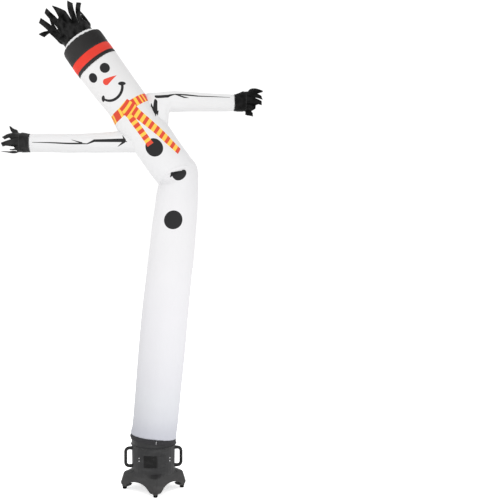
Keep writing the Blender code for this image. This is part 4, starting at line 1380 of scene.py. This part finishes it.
board, given, result, STITCHES = start_group(
    "row of stitches", ("Along number", "Away number"), ("Mask number",))
turn = board.calc("FRACT", board.over(given["Along"], STITCH_PITCH))
in_stitch = board.below(board.size(board.minus(turn, 0.5)), STITCH_SHARE / 2)
in_row = board.below(board.size(given["Away"]), THREAD_HALF)
board.fill(result["Mask"], board.times(in_stitch, in_row))
print("groups:", [group.name for group in bpy.data.node_groups])


def stitch(board, along, away):
    """A row of stitches that runs along, where away is 0."""
    return board.use(STITCHES, Along=along, Away=away)["Mask"]


# %% [markdown]
# ## Printed shapes
# The face, the buttons, the scarf and the twigs are printed on the flat cloth, so each is a
# plain shape that is laid out in metres on the flat map: a disc, an arc, a stroke that tapers,
# or a patch with four straight sides. A shape's mask is 1 inside and falls to 0 over a soft
# edge of under a millimetre, as ink does on a weave.

# %% Printed disc, arc, stroke and patch
INK_EDGE = 0.0009


def ink(board, inside):
    """Turn a distance inside a shape's edge into a mask."""
    return board.calc("MULTIPLY_ADD", inside, 1 / INK_EDGE, 0.5, clamp=True)


board, given, result, DISC = start_group(
    "printed disc", ("Flat place", "Middle place", "Half width number", "Half height number",
                     "Turn number"), ("Mask number",))
turned = board.add("ShaderNodeVectorRotate", rotation_type="Z_AXIS")
board.fill(turned.inputs["Vector"], board.vector("SUBTRACT", given["Flat"], given["Middle"]))
board.fill(turned.inputs["Angle"], given["Turn"])
x, y, _ = board.parts(turned.outputs["Vector"])
x, y = board.over(x, given["Half width"]), board.over(y, given["Half height"])
away = board.calc("SQRT", board.plus(board.times(x, x), board.times(y, y)))
board.fill(result["Mask"], ink(board, board.times(board.minus(1.0, away), given["Half height"])))

board, given, result, ARC = start_group(
    "printed arc", ("Flat place", "Middle place", "Radius number", "Half width number",
                    "Spread number"), ("Mask number",))
off = board.vector("SUBTRACT", given["Flat"], given["Middle"])
x, y, _ = board.parts(off)
from_line = board.size(board.minus(board.vector("LENGTH", off), given["Radius"]))
line = ink(board, board.minus(given["Half width"], from_line))
turned = board.size(board.calc("ARCTAN2", x, board.times(y, -1.0)))
board.fill(result["Mask"], board.times(line, board.below(turned, given["Spread"])))

board, given, result, STROKE = start_group(
    "printed stroke", ("Flat place", "Start place", "End place", "Start radius number",
                       "End radius number"), ("Mask number",))
run = board.vector("SUBTRACT", given["End"], given["Start"])
off = board.vector("SUBTRACT", given["Flat"], given["Start"])
share = board.calc("DIVIDE", board.vector("DOT_PRODUCT", off, run),
                   board.vector("DOT_PRODUCT", run, run), clamp=True)
away = board.vector("LENGTH", board.vector("SUBTRACT", off, board.scaled(run, share)))
growth = board.minus(given["End radius"], given["Start radius"])
radius = board.calc("MULTIPLY_ADD", share, growth, given["Start radius"])
board.fill(result["Mask"], ink(board, board.minus(radius, away)))

board, given, result, PATCH = start_group(
    "printed patch", ("Flat place", "A place", "B place", "C place", "D place"),
    ("Mask number",))
mask = 1.0
for first, second in ("AB", "BC", "CD", "DA"):
    run = board.vector("SUBTRACT", given[second], given[first])
    off = board.vector("SUBTRACT", given["Flat"], given[first])
    turned = board.parts(board.vector("CROSS_PRODUCT", run, off))[2]
    inside = board.over(turned, board.vector("LENGTH", run))
    mask = board.times(mask, ink(board, inside))
board.fill(result["Mask"], mask)


# %% Printing several shapes at once
def print_strokes(board, flat, strokes):
    """One mask for a list of strokes: start x, y, radius and end x, y, radius."""
    return board.highest(
        board.use(STROKE, Flat=flat, Start=(start_x, start_y, 0), End=(end_x, end_y, 0),
                  Start_radius=start_r, End_radius=end_r)["Mask"]
        for start_x, start_y, start_r, end_x, end_y, end_r in strokes)


def print_discs(board, flat, discs):
    """One mask for a list of discs: x, y, half width, half height and turn in degrees."""
    return board.highest(
        board.use(DISC, Flat=flat, Middle=(x, y, 0), Half_width=half_width,
                  Half_height=half_height, Turn=math.radians(turn))["Mask"]
        for x, y, half_width, half_height, turn in discs)


def print_patches(board, flat, patches):
    """One mask for a list of patches, each with its four corners in turn."""
    return board.highest(
        board.use(PATCH, Flat=flat, **{name: (*corner, 0) for name, corner
                                       in zip("ABCD", corners)})["Mask"]
        for corners in patches)


# %% Starting a finish
def start_finish(name, roughness, specular=0.5):
    """A material with one shader, and its board."""
    material = bpy.data.materials.new(name)
    material.use_nodes = True
    shader = material.node_tree.nodes["Principled BSDF"]
    shader.inputs["Roughness"].default_value = roughness
    shader.inputs["Specular IOR Level"].default_value = specular
    return material, Board(material.node_tree), shader.inputs


def raise_surface(board, shader, height, strength, distance):
    bump = board.add("ShaderNodeBump")
    bump.inputs["Strength"].default_value = strength
    bump.inputs["Distance"].default_value = distance
    board.fill(bump.inputs["Height"], height)
    board.fill(shader["Normal"], bump.outputs["Normal"])


def dress(material, *pieces):
    for piece in pieces:
        piece.data.materials.clear()
        piece.data.materials.append(material)


# %% Cloth in general
THREAD_PITCH = 0.0011       # a little coarser than real nylon, so that it shows close up
THREAD_RISE = 0.0002


def weave_finish(board, shader, colour, patch_scale, patch_least, strength=0.10):
    """Colour and weave of one cloth, laid out on its flat map, with patches of tone."""
    flat, place = board.flat_place(), board.object_place()
    weave = board.use(WEAVE, Flat=flat, Pitch=THREAD_PITCH)
    patches = board.use(PATCHES, Place=place, Scale=patch_scale, Least=patch_least)
    tone = board.times(weave["Shade"], patches["Tone"])
    raise_surface(board, shader, weave["Height"], strength, THREAD_RISE)
    return flat, board.mix(tone, (0, 0, 0, 1), colour)


def paint_side_light_and_shade(board, colour, flat_x, width, amount):
    """Paint light and shade on a rolled cloth: lighter by amount on its right or top side, and
    darker opposite.
    """
    across = board.calc("SINE", board.times(flat_x, math.tau / width))
    return board.scaled(colour, board.calc("MULTIPLY_ADD", across, amount, 1.0))


# %% [markdown]
# ## White cloth with its prints
# The white nylon is a touch cool. Its colour carries painted shade: it gets darker towards the
# hem and a little darker at the head, and one side of each stretch is painted lighter than the
# other. The ink goes on in layers, in the order in which it covers: buttons and face first, and
# the scarf over them.

# %% Colours of cloth and ink
WHITE = (0.776, 0.776, 0.780, 1.0)
BLACK_INK = (0.006, 0.006, 0.007, 1.0)
NOSE_INK = (0.74, 0.060, 0.032, 1.0)
RED_INK = (0.68, 0.058, 0.026, 1.0)
YELLOW_INK = (0.96, 0.570, 0.072, 1.0)
TUBE_THREAD = (0.66, 0.66, 0.68, 1)
SLEEVE_THREAD = (0.62, 0.62, 0.64, 1)
BLACK_THREAD = (0.10, 0.10, 0.10, 1)
GREY_THREAD = (0.16, 0.16, 0.17, 1)


def white_cloth(name):
    material, board, shader = start_finish(name, roughness=0.58, specular=0.36)
    flat, colour = weave_finish(board, shader, WHITE, patch_scale=2.6, patch_least=0.975)
    return material, board, shader, flat, colour


# %% White tube: painted shade along its length and on its sides
# Painted shade: the cloth's colour is darkened along its length, most towards the hem.
TUBE_PAINTED_SHADE = (          # flat y, and the red, green and blue of the cloth there
    (0.00, 0.62, 0.63, 0.70), (0.07, 0.65, 0.66, 0.72), (0.18, 0.78, 0.79, 0.835),
    (0.28, 0.835, 0.845, 0.88), (0.42, 0.87, 0.87, 0.905), (0.60, 0.915, 0.912, 0.94),
    (0.83, 0.950, 0.943, 0.970), (1.10, 0.980, 0.972, 0.990), (1.40, 0.998, 0.990, 1.0),
    (1.62, 0.985, 0.978, 0.990), (1.78, 0.960, 0.955, 0.965), (2.10, 0.965, 0.965, 0.965),
    (2.45, 0.980, 0.975, 0.970), (2.755, 0.965, 0.955, 0.950),
)
# Painted light and shade: one side of the tube is painted lighter and the other darker.
PAINTED_SIDE_LIGHT = (          # flat y, and how much brighter the right side is than the middle
    (0.00, 0.11), (0.35, 0.095), (0.70, 0.06), (1.10, 0.03), (1.40, 0.00), (1.70, -0.03),
    (2.20, -0.065), (2.45, -0.08), (2.60, -0.09), (2.755, -0.12),
)
tube_white, board, shader, flat, colour = white_cloth("white cloth of the tube")
flat_x, flat_y, _ = board.parts(flat)
share_up = board.over(flat_y, TUBE_LENGTH)
painted_shade_along = board.ramp(share_up, [(y / TUBE_LENGTH, tone) for y, *tone in TUBE_PAINTED_SHADE])
sides = board.ramp(share_up, [(y / TUBE_LENGTH, [side + 0.5] * 3) for y, side in PAINTED_SIDE_LIGHT])
side = board.minus(board.parts(sides)[0], 0.5)      # a ramp holds no numbers below 0
# painted shade along the tube
colour = board.vector("MULTIPLY", colour, painted_shade_along)
# painted light on one side of the tube and painted shade on the other
colour = paint_side_light_and_shade(board, colour, flat_x, TUBE_WIDTH, side)

# %% White tube: stitching of its back seam and hem
BACK_ROW, TOP_ROW = 0.008, 0.006        # from the cloth's edges
back_row = stitch(board, flat_y, board.minus(TUBE_WIDTH / 2 - BACK_ROW, board.size(flat_x)))
top_row = stitch(board, flat_x, board.minus(flat_y, TUBE_LENGTH - TOP_ROW))
colour = board.mix(board.highest((back_row, top_row)), colour, TUBE_THREAD)

# %% White tube: buttons, eyes, smile and twig
BUTTONS_AND_EYES = (    # flat x and y, half width, half height, turn in degrees
    (-0.0350, 2.0550, 0.0630, 0.0640, 0),
    (-0.0160, 1.5120, 0.0645, 0.0628, 0),
    (0.0134, 2.6775, 0.0348, 0.0340, 0),
    (-0.0983, 2.6770, 0.0330, 0.0332, 0),
)
SQUASHED_BUTTON = (0.007, 1.826, 0.0545, 0.051, 0)
LIP_SLOPE, LIP_MIDDLE = -0.21, 1.838    # the lip of the tuck hides the button above this line
SMILE_X, SMILE_Y, SMILE_R, SMILE_HALF, SMILE_SPREAD = -0.049, 2.5740, 0.1044, 0.0092, 64.0
SMILE_END = (0.027, 0.0135)             # half width and half height
TUBE_STROKES = (        # start x, y, radius, end x, y, radius
    (-0.038, 1.838, 0.0105, -0.060, 1.821, 0.0055),     # edge of the squashed button
    (0.040, 1.826, 0.0080, 0.052, 1.824, 0.0070),
    (0.168, 2.268, 0.0150, 0.1290, 2.226, 0.0020),      # tip of the twig at the sleeve
    (0.158, 2.2828, 0.0085, 0.146, 2.250, 0.0085),
)
NOSE = (-0.038, 2.598, 0.0225, 0.047, 2.593, 0.0012)

smile = board.use(ARC, Flat=flat, Middle=(SMILE_X, SMILE_Y, 0), Radius=SMILE_R,
                  Half_width=SMILE_HALF, Spread=math.radians(SMILE_SPREAD))["Mask"]
smile_ends = []
for turn in (-SMILE_SPREAD, SMILE_SPREAD):
    turned = math.radians(turn)
    smile_ends.append((SMILE_X + SMILE_R * math.sin(turned),
                       SMILE_Y - SMILE_R * math.cos(turned), *SMILE_END, 90.0 - turn))
lip = board.calc("MULTIPLY_ADD", flat_x, LIP_SLOPE, LIP_MIDDLE)
squashed = board.times(print_discs(board, flat, [SQUASHED_BUTTON]),
                       ink(board, board.minus(lip, flat_y)))
black = board.highest((
    print_discs(board, flat, BUTTONS_AND_EYES), smile, print_discs(board, flat, smile_ends),
    squashed, print_strokes(board, flat, TUBE_STROKES)))
colour = board.mix(black, colour, BLACK_INK)
colour = board.mix(print_strokes(board, flat, [NOSE]), colour, NOSE_INK)
print("black shapes on the tube:", len(BUTTONS_AND_EYES) + len(TUBE_STROKES) + 4)

# %% [markdown]
# ## Scarf
# The scarf is four printed parts: a band round the neck, a knot, and two tails that hang from
# it. Each has stripes across it, so each part is a mask and a rule for where red turns into
# yellow. The band's stripes are uneven on the front and settle into an even pitch behind.

# %% Scarf: the band round the neck
BAND_LOW, BAND_HIGH = 2.347, 2.406
BAND_STRIPES = (        # flat x where the stripes start, yellow and red in turn
    -0.4825, -0.460, -0.435, -0.413, -0.388, -0.366, -0.341, -0.319, -0.294, -0.272, -0.247,
    -0.225, -0.214, -0.200, -0.190, -0.165, -0.100, -0.078, 0.045, 0.066, 0.093, 0.107, 0.131,
    0.144, 0.224, 0.246, 0.271, 0.300, 0.340, 0.372, 0.412, 0.445,
)
is_red = board.ramp(board.plus(board.over(flat_x, TUBE_WIDTH), 0.5),
                    [(start / TUBE_WIDTH + 0.5, [number % 2] * 3)
                     for number, start in enumerate(BAND_STRIPES)], "CONSTANT")
band = board.times(ink(board, board.minus(flat_y, BAND_LOW)),
                   ink(board, board.minus(BAND_HIGH, flat_y)))
colour = board.mix(band, colour, board.mix(board.parts(is_red)[0], YELLOW_INK, RED_INK))
print("stripes on the band:", len(BAND_STRIPES))

# %% Scarf: tails and knot
# The stripes of a part follow y - slope * x - bend * x * x, and one red stripe begins at start.
ScarfPart = namedtuple("ScarfPart", "slope bend start pitch red_share patches")
SCARF_PARTS = (
    ScarfPart(0.00, 0.0, 2.0355, 0.0485, 0.55, (
        ((-0.0713, 2.084), (-0.0185, 2.084), (-0.0209, 2.1203), (-0.0650, 2.190)),
        ((-0.0650, 2.190), (-0.0209, 2.1203), (-0.0100, 2.330), (-0.0575, 2.330)))),
    ScarfPart(0.39, 0.0, 1.8556, 0.0504, 0.50, (
        ((0.0825, 1.9380), (0.1440, 1.9623), (0.0915, 2.1300), (0.0275, 2.1300)),
        ((0.0275, 2.1300), (0.0915, 2.1300), (0.0300, 2.3750), (-0.0240, 2.3300)))),
    ScarfPart(0.42, 2.2, 1.8680, 0.0480, 0.55, (
        ((-0.082, 2.406), (-0.059, 2.318), (0.040, 2.353), (0.007, 2.424)),)),
)
for part in SCARF_PARTS:
    level = board.minus(flat_y, board.times(flat_x, part.slope))
    level = board.minus(level, board.times(board.times(flat_x, flat_x), part.bend))
    turn = board.calc("FRACT", board.over(board.minus(level, part.start), part.pitch))
    stripes = board.mix(board.below(turn, part.red_share), YELLOW_INK, RED_INK)
    colour = board.mix(print_patches(board, flat, part.patches), colour, stripes)
board.fill(shader["Base Color"], colour)
dress(tube_white, tube)

# %% [markdown]
# ## White sleeves
# Each sleeve has a twig arm printed along it: a thin line that thickens towards the tube, with
# a kink and an arrow-like end. The strokes overlap a little, so they read as one. Painted shade
# darkens each sleeve towards its cuff, and painted light makes its top side lighter by a set
# amount.

# %% Twigs
LEFT_TWIG = (           # start x, y, radius, end x, y, radius
    (-0.0039, 0.7700, 0.0018, -0.0076, 0.6069, 0.0045),
    (-0.0076, 0.6069, 0.0045, -0.0110, 0.4682, 0.0055),
    (-0.0110, 0.4682, 0.0055, -0.0144, 0.3984, 0.0030),
    (0.0155, 0.5050, 0.0010, -0.0080, 0.4350, 0.0055),
    (-0.0144, 0.3984, 0.0035, 0.0050, 0.3500, 0.0085),
    (0.0050, 0.3500, 0.0085, -0.0004, 0.1550, 0.0110),
    (-0.0004, 0.1550, 0.0110, -0.0107, 0.1287, 0.0010),
    (0.0290, 0.1540, 0.0010, 0.0020, 0.1440, 0.0080),
    (-0.0380, 0.1980, 0.0010, -0.0090, 0.1500, 0.0080),
)
RIGHT_TWIG = (
    (0.0401, 0.1371, 0.0085, 0.0240, 0.1987, 0.0095),
    (0.0240, 0.1987, 0.0095, 0.0335, 0.2449, 0.0035),
    (0.0335, 0.2449, 0.0045, 0.0325, 0.3206, 0.0060),
    (0.0325, 0.3206, 0.0060, 0.0285, 0.3995, 0.0045),
    (0.0285, 0.3995, 0.0040, 0.0304, 0.5123, 0.0032),
    (0.0304, 0.5123, 0.0032, 0.0300, 0.6170, 0.0015),
    (0.0335, 0.2449, 0.0040, 0.0150, 0.3041, 0.0050),
    (0.0150, 0.3041, 0.0050, 0.0110, 0.3374, 0.0010),
    (0.0221, 0.1206, 0.0085, -0.0053, 0.0802, 0.0115),
    (0.0235, 0.0860, 0.0015, 0.0000, 0.0700, 0.0125),
    (-0.0085, 0.1028, 0.0010, -0.0120, 0.0800, 0.0085),
)

# %% White sleeves and hem
UNDER_ROW = 0.006       # how far the stitches lie from the sleeve's seam
# Painted shade darkens each sleeve towards its cuff, and painted light makes the top lighter.
PAINTED_SHADE_START = 0.2        # flat y from which a sleeve's tone changes towards its cuff
SLEEVE_FINISHES = (     # strokes, tone at the cuff, and how much lighter the top is
    (sleeve_left, left_sleeve, LEFT_TWIG, 0.985, 0.045),
    (sleeve_right, right_sleeve, RIGHT_TWIG, 0.955, 0.0),
)
for piece, sleeve, strokes, painted_cuff_shade, painted_top_light in SLEEVE_FINISHES:
    material, board, shader, flat, colour = white_cloth("white cloth of " + piece.name)
    flat_x, flat_y, _ = board.parts(flat)
    # painted shade towards the cuff, then painted light on the top side
    colour = board.scaled(colour, board.reach(flat_y, PAINTED_SHADE_START, sleeve.length, 1.0, painted_cuff_shade))
    colour = paint_side_light_and_shade(board, colour, flat_x, sleeve.width, painted_top_light)
    hem_row = stitch(board, flat_x, board.minus(flat_y, sleeve.length - SLEEVE_HEM))
    under_row = stitch(board, flat_y, board.minus(sleeve.width / 2 - UNDER_ROW,
                                                  board.size(flat_x)))
    colour = board.mix(board.highest((hem_row, under_row)), colour, SLEEVE_THREAD)
    board.fill(shader["Base Color"],
               board.mix(print_strokes(board, flat, strokes), colour, BLACK_INK))
    dress(material, piece)
    print(piece.name, "has", len(strokes), "strokes")

TOP_HEM_ROW = 0.018
hem_white, board, shader, flat, colour = white_cloth("white cloth of the hem")
flat_x, flat_y, _ = board.parts(flat)
row = stitch(board, flat_x, board.minus(flat_y, TOP_HEM_ROW))
board.fill(shader["Base Color"], board.mix(row, colour, BLACK_THREAD))
dress(hem_white, top_hem)

# %% [markdown]
# ## Black and red cloth
# The hat, cuffs, hair and fingers are the same nylon in black, which shows its folds by their
# sheen, and the band is red. The hat and the band carry painted shade on their right side and
# painted light on their left, and the left hand's black is painted lighter than the right's.
# Dust dulls black nylon unevenly, so its roughness varies too.

# %% Black and red cloth
ROUGHNESS_SPREAD = 0.08


def coloured_cloth(name, colour, roughness, specular, stitch_place=None, side=0.0,
                   patch_scale=9.0, patch_least=0.86):
    """A dyed cloth; side says how much painted shade darkens a rolled strip towards its right
    side, and painted light lightens it opposite.
    """
    material, board, shader = start_finish(name, roughness, specular)
    flat, colour = weave_finish(board, shader, colour, patch_scale, patch_least, strength=0.16)
    flat_x, flat_y, _ = board.parts(flat)
    if side:
        colour = paint_side_light_and_shade(board, colour, flat_x, HAT_WIDTH, -side)
    if stitch_place is not None:
        row = stitch(board, flat_x, board.minus(flat_y, stitch_place))
        colour = board.mix(board.times(row, 0.5), colour, GREY_THREAD)
    board.fill(shader["Base Color"], colour)
    dull = board.noise(board.object_place(), 14.0, 4.0)
    board.fill(shader["Roughness"], board.reach(dull, 0.3, 0.7, roughness - ROUGHNESS_SPREAD,
                                                roughness + ROUGHNESS_SPREAD))
    return material


def grey(value):
    return value, value, value, 1


# The hat is painted darker on its right side and lighter on its left: painted shade and light.
hat_black = coloured_cloth("black cloth of the hat", (0.028, 0.027, 0.027, 1), roughness=0.56,
                           specular=0.11, stitch_place=0.006, side=0.65)
# The two hands are one black nylon: the left copy is painted lighter and the right copy darker,
# as painted light and shade.
left_black_painted_lit = coloured_cloth("black cloth of the left hand", grey(0.022), roughness=0.50,
                            specular=0.17, stitch_place=0.005, patch_scale=30.0,
                            patch_least=0.35)
right_black_painted_shade = coloured_cloth("black cloth of the right hand", grey(0.010), roughness=0.50,
                             specular=0.07, stitch_place=0.005, patch_scale=30.0,
                             patch_least=0.15)
hair_black = coloured_cloth("black cloth of the hair", grey(0.024), roughness=0.42,
                            specular=0.05, patch_scale=24.0, patch_least=0.02)
# The band is painted darker on its right side and lighter on its left: painted shade and light.
band_red = coloured_cloth("red cloth", (0.78, 0.045, 0.026, 1), roughness=0.58, specular=0.22,
                          stitch_place=0.005, side=0.16)
dress(hat_black, hat_edge, hat_crown)
dress(left_black_painted_lit, cuff_left, fingers_left)
dress(right_black_painted_shade, cuff_right, fingers_right)
dress(hair_black, hair)
dress(band_red, hat_band)
print("cloth finishes:", [m.name for m in bpy.data.materials if "cloth" in m.name])

# %% [markdown]
# ## Webbing
# Webbing is a thick, ribbed weave: coarse threads cross a few times per centimetre, and both
# edges are rolled. A white bar of stitches fixes the strap's end.

# %% Webbing
WEBBING_PITCH = 0.0036
BAR_FROM_END, BAR_HALF_WIDTH, BAR_HALF_HEIGHT = 0.0035, 0.0016, 0.0105
BAR_PITCH, BAR_SHARE = 0.0018, 0.78     # of the bar's stitches, one above the other

webbing, board, shader = start_finish("black webbing", roughness=0.78, specular=0.35)
flat = board.flat_place()
flat_x, flat_y, _ = board.parts(flat)
weave = board.use(WEAVE, Flat=flat, Pitch=WEBBING_PITCH)
worn = board.use(PATCHES, Place=flat, Scale=30.0, Least=0.75)["Tone"]
colour = board.mix(worn, (0.010, 0.010, 0.011, 1), (0.026, 0.025, 0.028, 1))
from_bar = board.size(board.minus(flat_x, strap_length - BAR_FROM_END))
from_middle = board.size(board.minus(flat_y, (STRAP_HIGH - STRAP_LOW) / 2))
bar = board.times(board.below(from_bar, BAR_HALF_WIDTH),
                  board.below(from_middle, BAR_HALF_HEIGHT))
rung = board.below(board.calc("FRACT", board.over(flat_y, BAR_PITCH)), BAR_SHARE)
bar = board.times(bar, rung)
board.fill(shader["Base Color"], board.mix(bar, colour, (0.74, 0.74, 0.75, 1)))
raise_surface(board, shader, board.plus(weave["Height"], board.times(bar, 1.5)),
              strength=0.5, distance=0.0005)
dress(webbing, strap)

# %% [markdown]
# ## Hard parts
# The blower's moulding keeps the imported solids, which already have the right shape, and gets a
# satin plastic with a fine spark-eroded grain. The grain, the scuffs and the dust that settles
# low down are groups, so that the handles get the same ones as the housing.

# %% Grain and dust
board, given, result, GRAIN = start_group(
    "moulded grain", ("Place place", "Scale number"), ("Height number", "Scuff number"))
board.fill(result["Height"], board.noise(given["Place"], given["Scale"], 2.0))
streaks = board.noise(board.vector("MULTIPLY", given["Place"], (9.0, 9.0, 34.0)), 1.0, 5.0)
board.fill(result["Scuff"], board.reach(streaks, 0.52, 0.74, 0.0, 1.0))

board, given, result, DUST = start_group(
    "settled dust", ("Place place", "High number"), ("Mask number",))
fading = board.reach(board.parts(given["Place"])[2], 0.0, given["High"], 1.0, 0.0)
patchy = board.noise(given["Place"], 38.0, 4.0)
board.fill(result["Mask"], board.times(fading, patchy))


# %% Plastic
def plastic(name, colour, light_colour, roughness):
    material, board, shader = start_finish(name, roughness, specular=0.30)
    place = board.object_place()
    grain = board.use(GRAIN, Place=place, Scale=900.0)
    dust = board.use(DUST, Place=place, High=0.16)["Mask"]
    tone = board.use(PATCHES, Place=place, Scale=7.0, Least=0.0)["Tone"]
    base = board.mix(tone, colour, light_colour)
    base = board.mix(board.times(grain["Scuff"], 0.20), base, grey(0.11))
    base = board.mix(board.times(dust, 0.30), base, (0.13, 0.12, 0.11, 1))
    board.fill(shader["Base Color"], base)
    board.fill(shader["Roughness"], board.reach(
        board.plus(grain["Scuff"], dust), 0.0, 1.5, roughness, roughness + 0.2))
    raise_surface(board, shader, grain["Height"], strength=0.12, distance=0.0004)
    return material


charcoal = plastic("charcoal plastic", (0.018, 0.018, 0.019, 1), (0.024, 0.024, 0.025, 1), 0.44)
handle_plastic = plastic("handle plastic", grey(0.007), (0.010, 0.010, 0.011, 1), 0.46)

# %% Plate, rubber and steel
PLATE_SPLIT = 0.0267        # x from the axis where the plate's dark part ends
PLATE_SOFT = 0.008          # half the width over which it ends
plate, board, shader = start_finish("smooth plate", roughness=0.24, specular=0.22)
place = board.object_place()
across = board.minus(board.parts(place)[0], AXIS_X)
lighter = board.reach(across, PLATE_SPLIT - PLATE_SOFT, PLATE_SPLIT + PLATE_SOFT, 0.0, 1.0)
rubbed = board.use(GRAIN, Place=place, Scale=300.0)
base = board.mix(lighter, grey(0.003), (0.030, 0.030, 0.031, 1))
board.fill(shader["Base Color"], board.mix(board.times(rubbed["Scuff"], 0.15), base, grey(0.05)))
board.fill(shader["Roughness"], board.reach(rubbed["Scuff"], 0.0, 1.0, 0.22, 0.36))
raise_surface(board, shader, rubbed["Height"], strength=0.05, distance=0.0002)

rubber, board, shader = start_finish("black rubber", roughness=0.80, specular=0.08)
place = board.object_place()
ground_in = board.use(DUST, Place=place, High=0.02)["Mask"]
board.fill(shader["Base Color"], board.mix(ground_in, grey(0.002), (0.008, 0.007, 0.006, 1)))
raise_surface(board, shader, board.use(GRAIN, Place=place, Scale=1400.0)["Height"],
              strength=0.3, distance=0.0003)

steel, board, shader = start_finish("bright steel", roughness=0.30)
shader["Metallic"].default_value = 1.0
brushed = board.noise(board.vector("MULTIPLY", board.object_place(), (40.0, 40.0, 900.0)), 1.0)
board.fill(shader["Base Color"], board.mix(brushed, (0.62, 0.62, 0.63, 1),
                                           (0.80, 0.80, 0.81, 1)))
board.fill(shader["Roughness"], board.reach(brushed, 0.2, 0.8, 0.24, 0.40))
raise_surface(board, shader, brushed, strength=0.08, distance=0.0002)

# %% Dressing the hard parts
FOUR = (1, 2, 3, 4)
HARD_PARTS = (
    (charcoal, ["blower_housing"]),
    (handle_plastic, ["handle_left", "handle_right"]),
    (plate, ["front_plate"]),
    (rubber, [f"foot_{number}" for number in FOUR]),
    (steel, ["grille"] + [f"{kind}_screw_{number}" for kind in ("drum", "grille")
                          for number in FOUR]),
)
for material, names in HARD_PARTS:
    dress(material, *(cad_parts[name] for name in names))
print("hard parts dressed:", sum(len(names) for _, names in HARD_PARTS))

# %% [markdown]
# ## Studio floor
# The floor is a lit panel, as studios use for goods on white: its own faint light keeps it
# pale right up to the feet, and that light doesn't reach the object.

# %% Studio floor
floor_finish, board, shader = start_finish("pale floor", roughness=0.9, specular=0.1)
board.fill(shader["Base Color"], board.mix(board.noise(board.object_place(), 0.8, 2.0),
                                           grey(0.955), grey(0.965)))
seen = board.add("ShaderNodeLightPath").outputs["Is Camera Ray"]
board.fill(shader["Emission Color"], board.mix(seen, grey(0), grey(1)))
shader["Emission Strength"].default_value = 0.62
dress(floor_finish, floor)
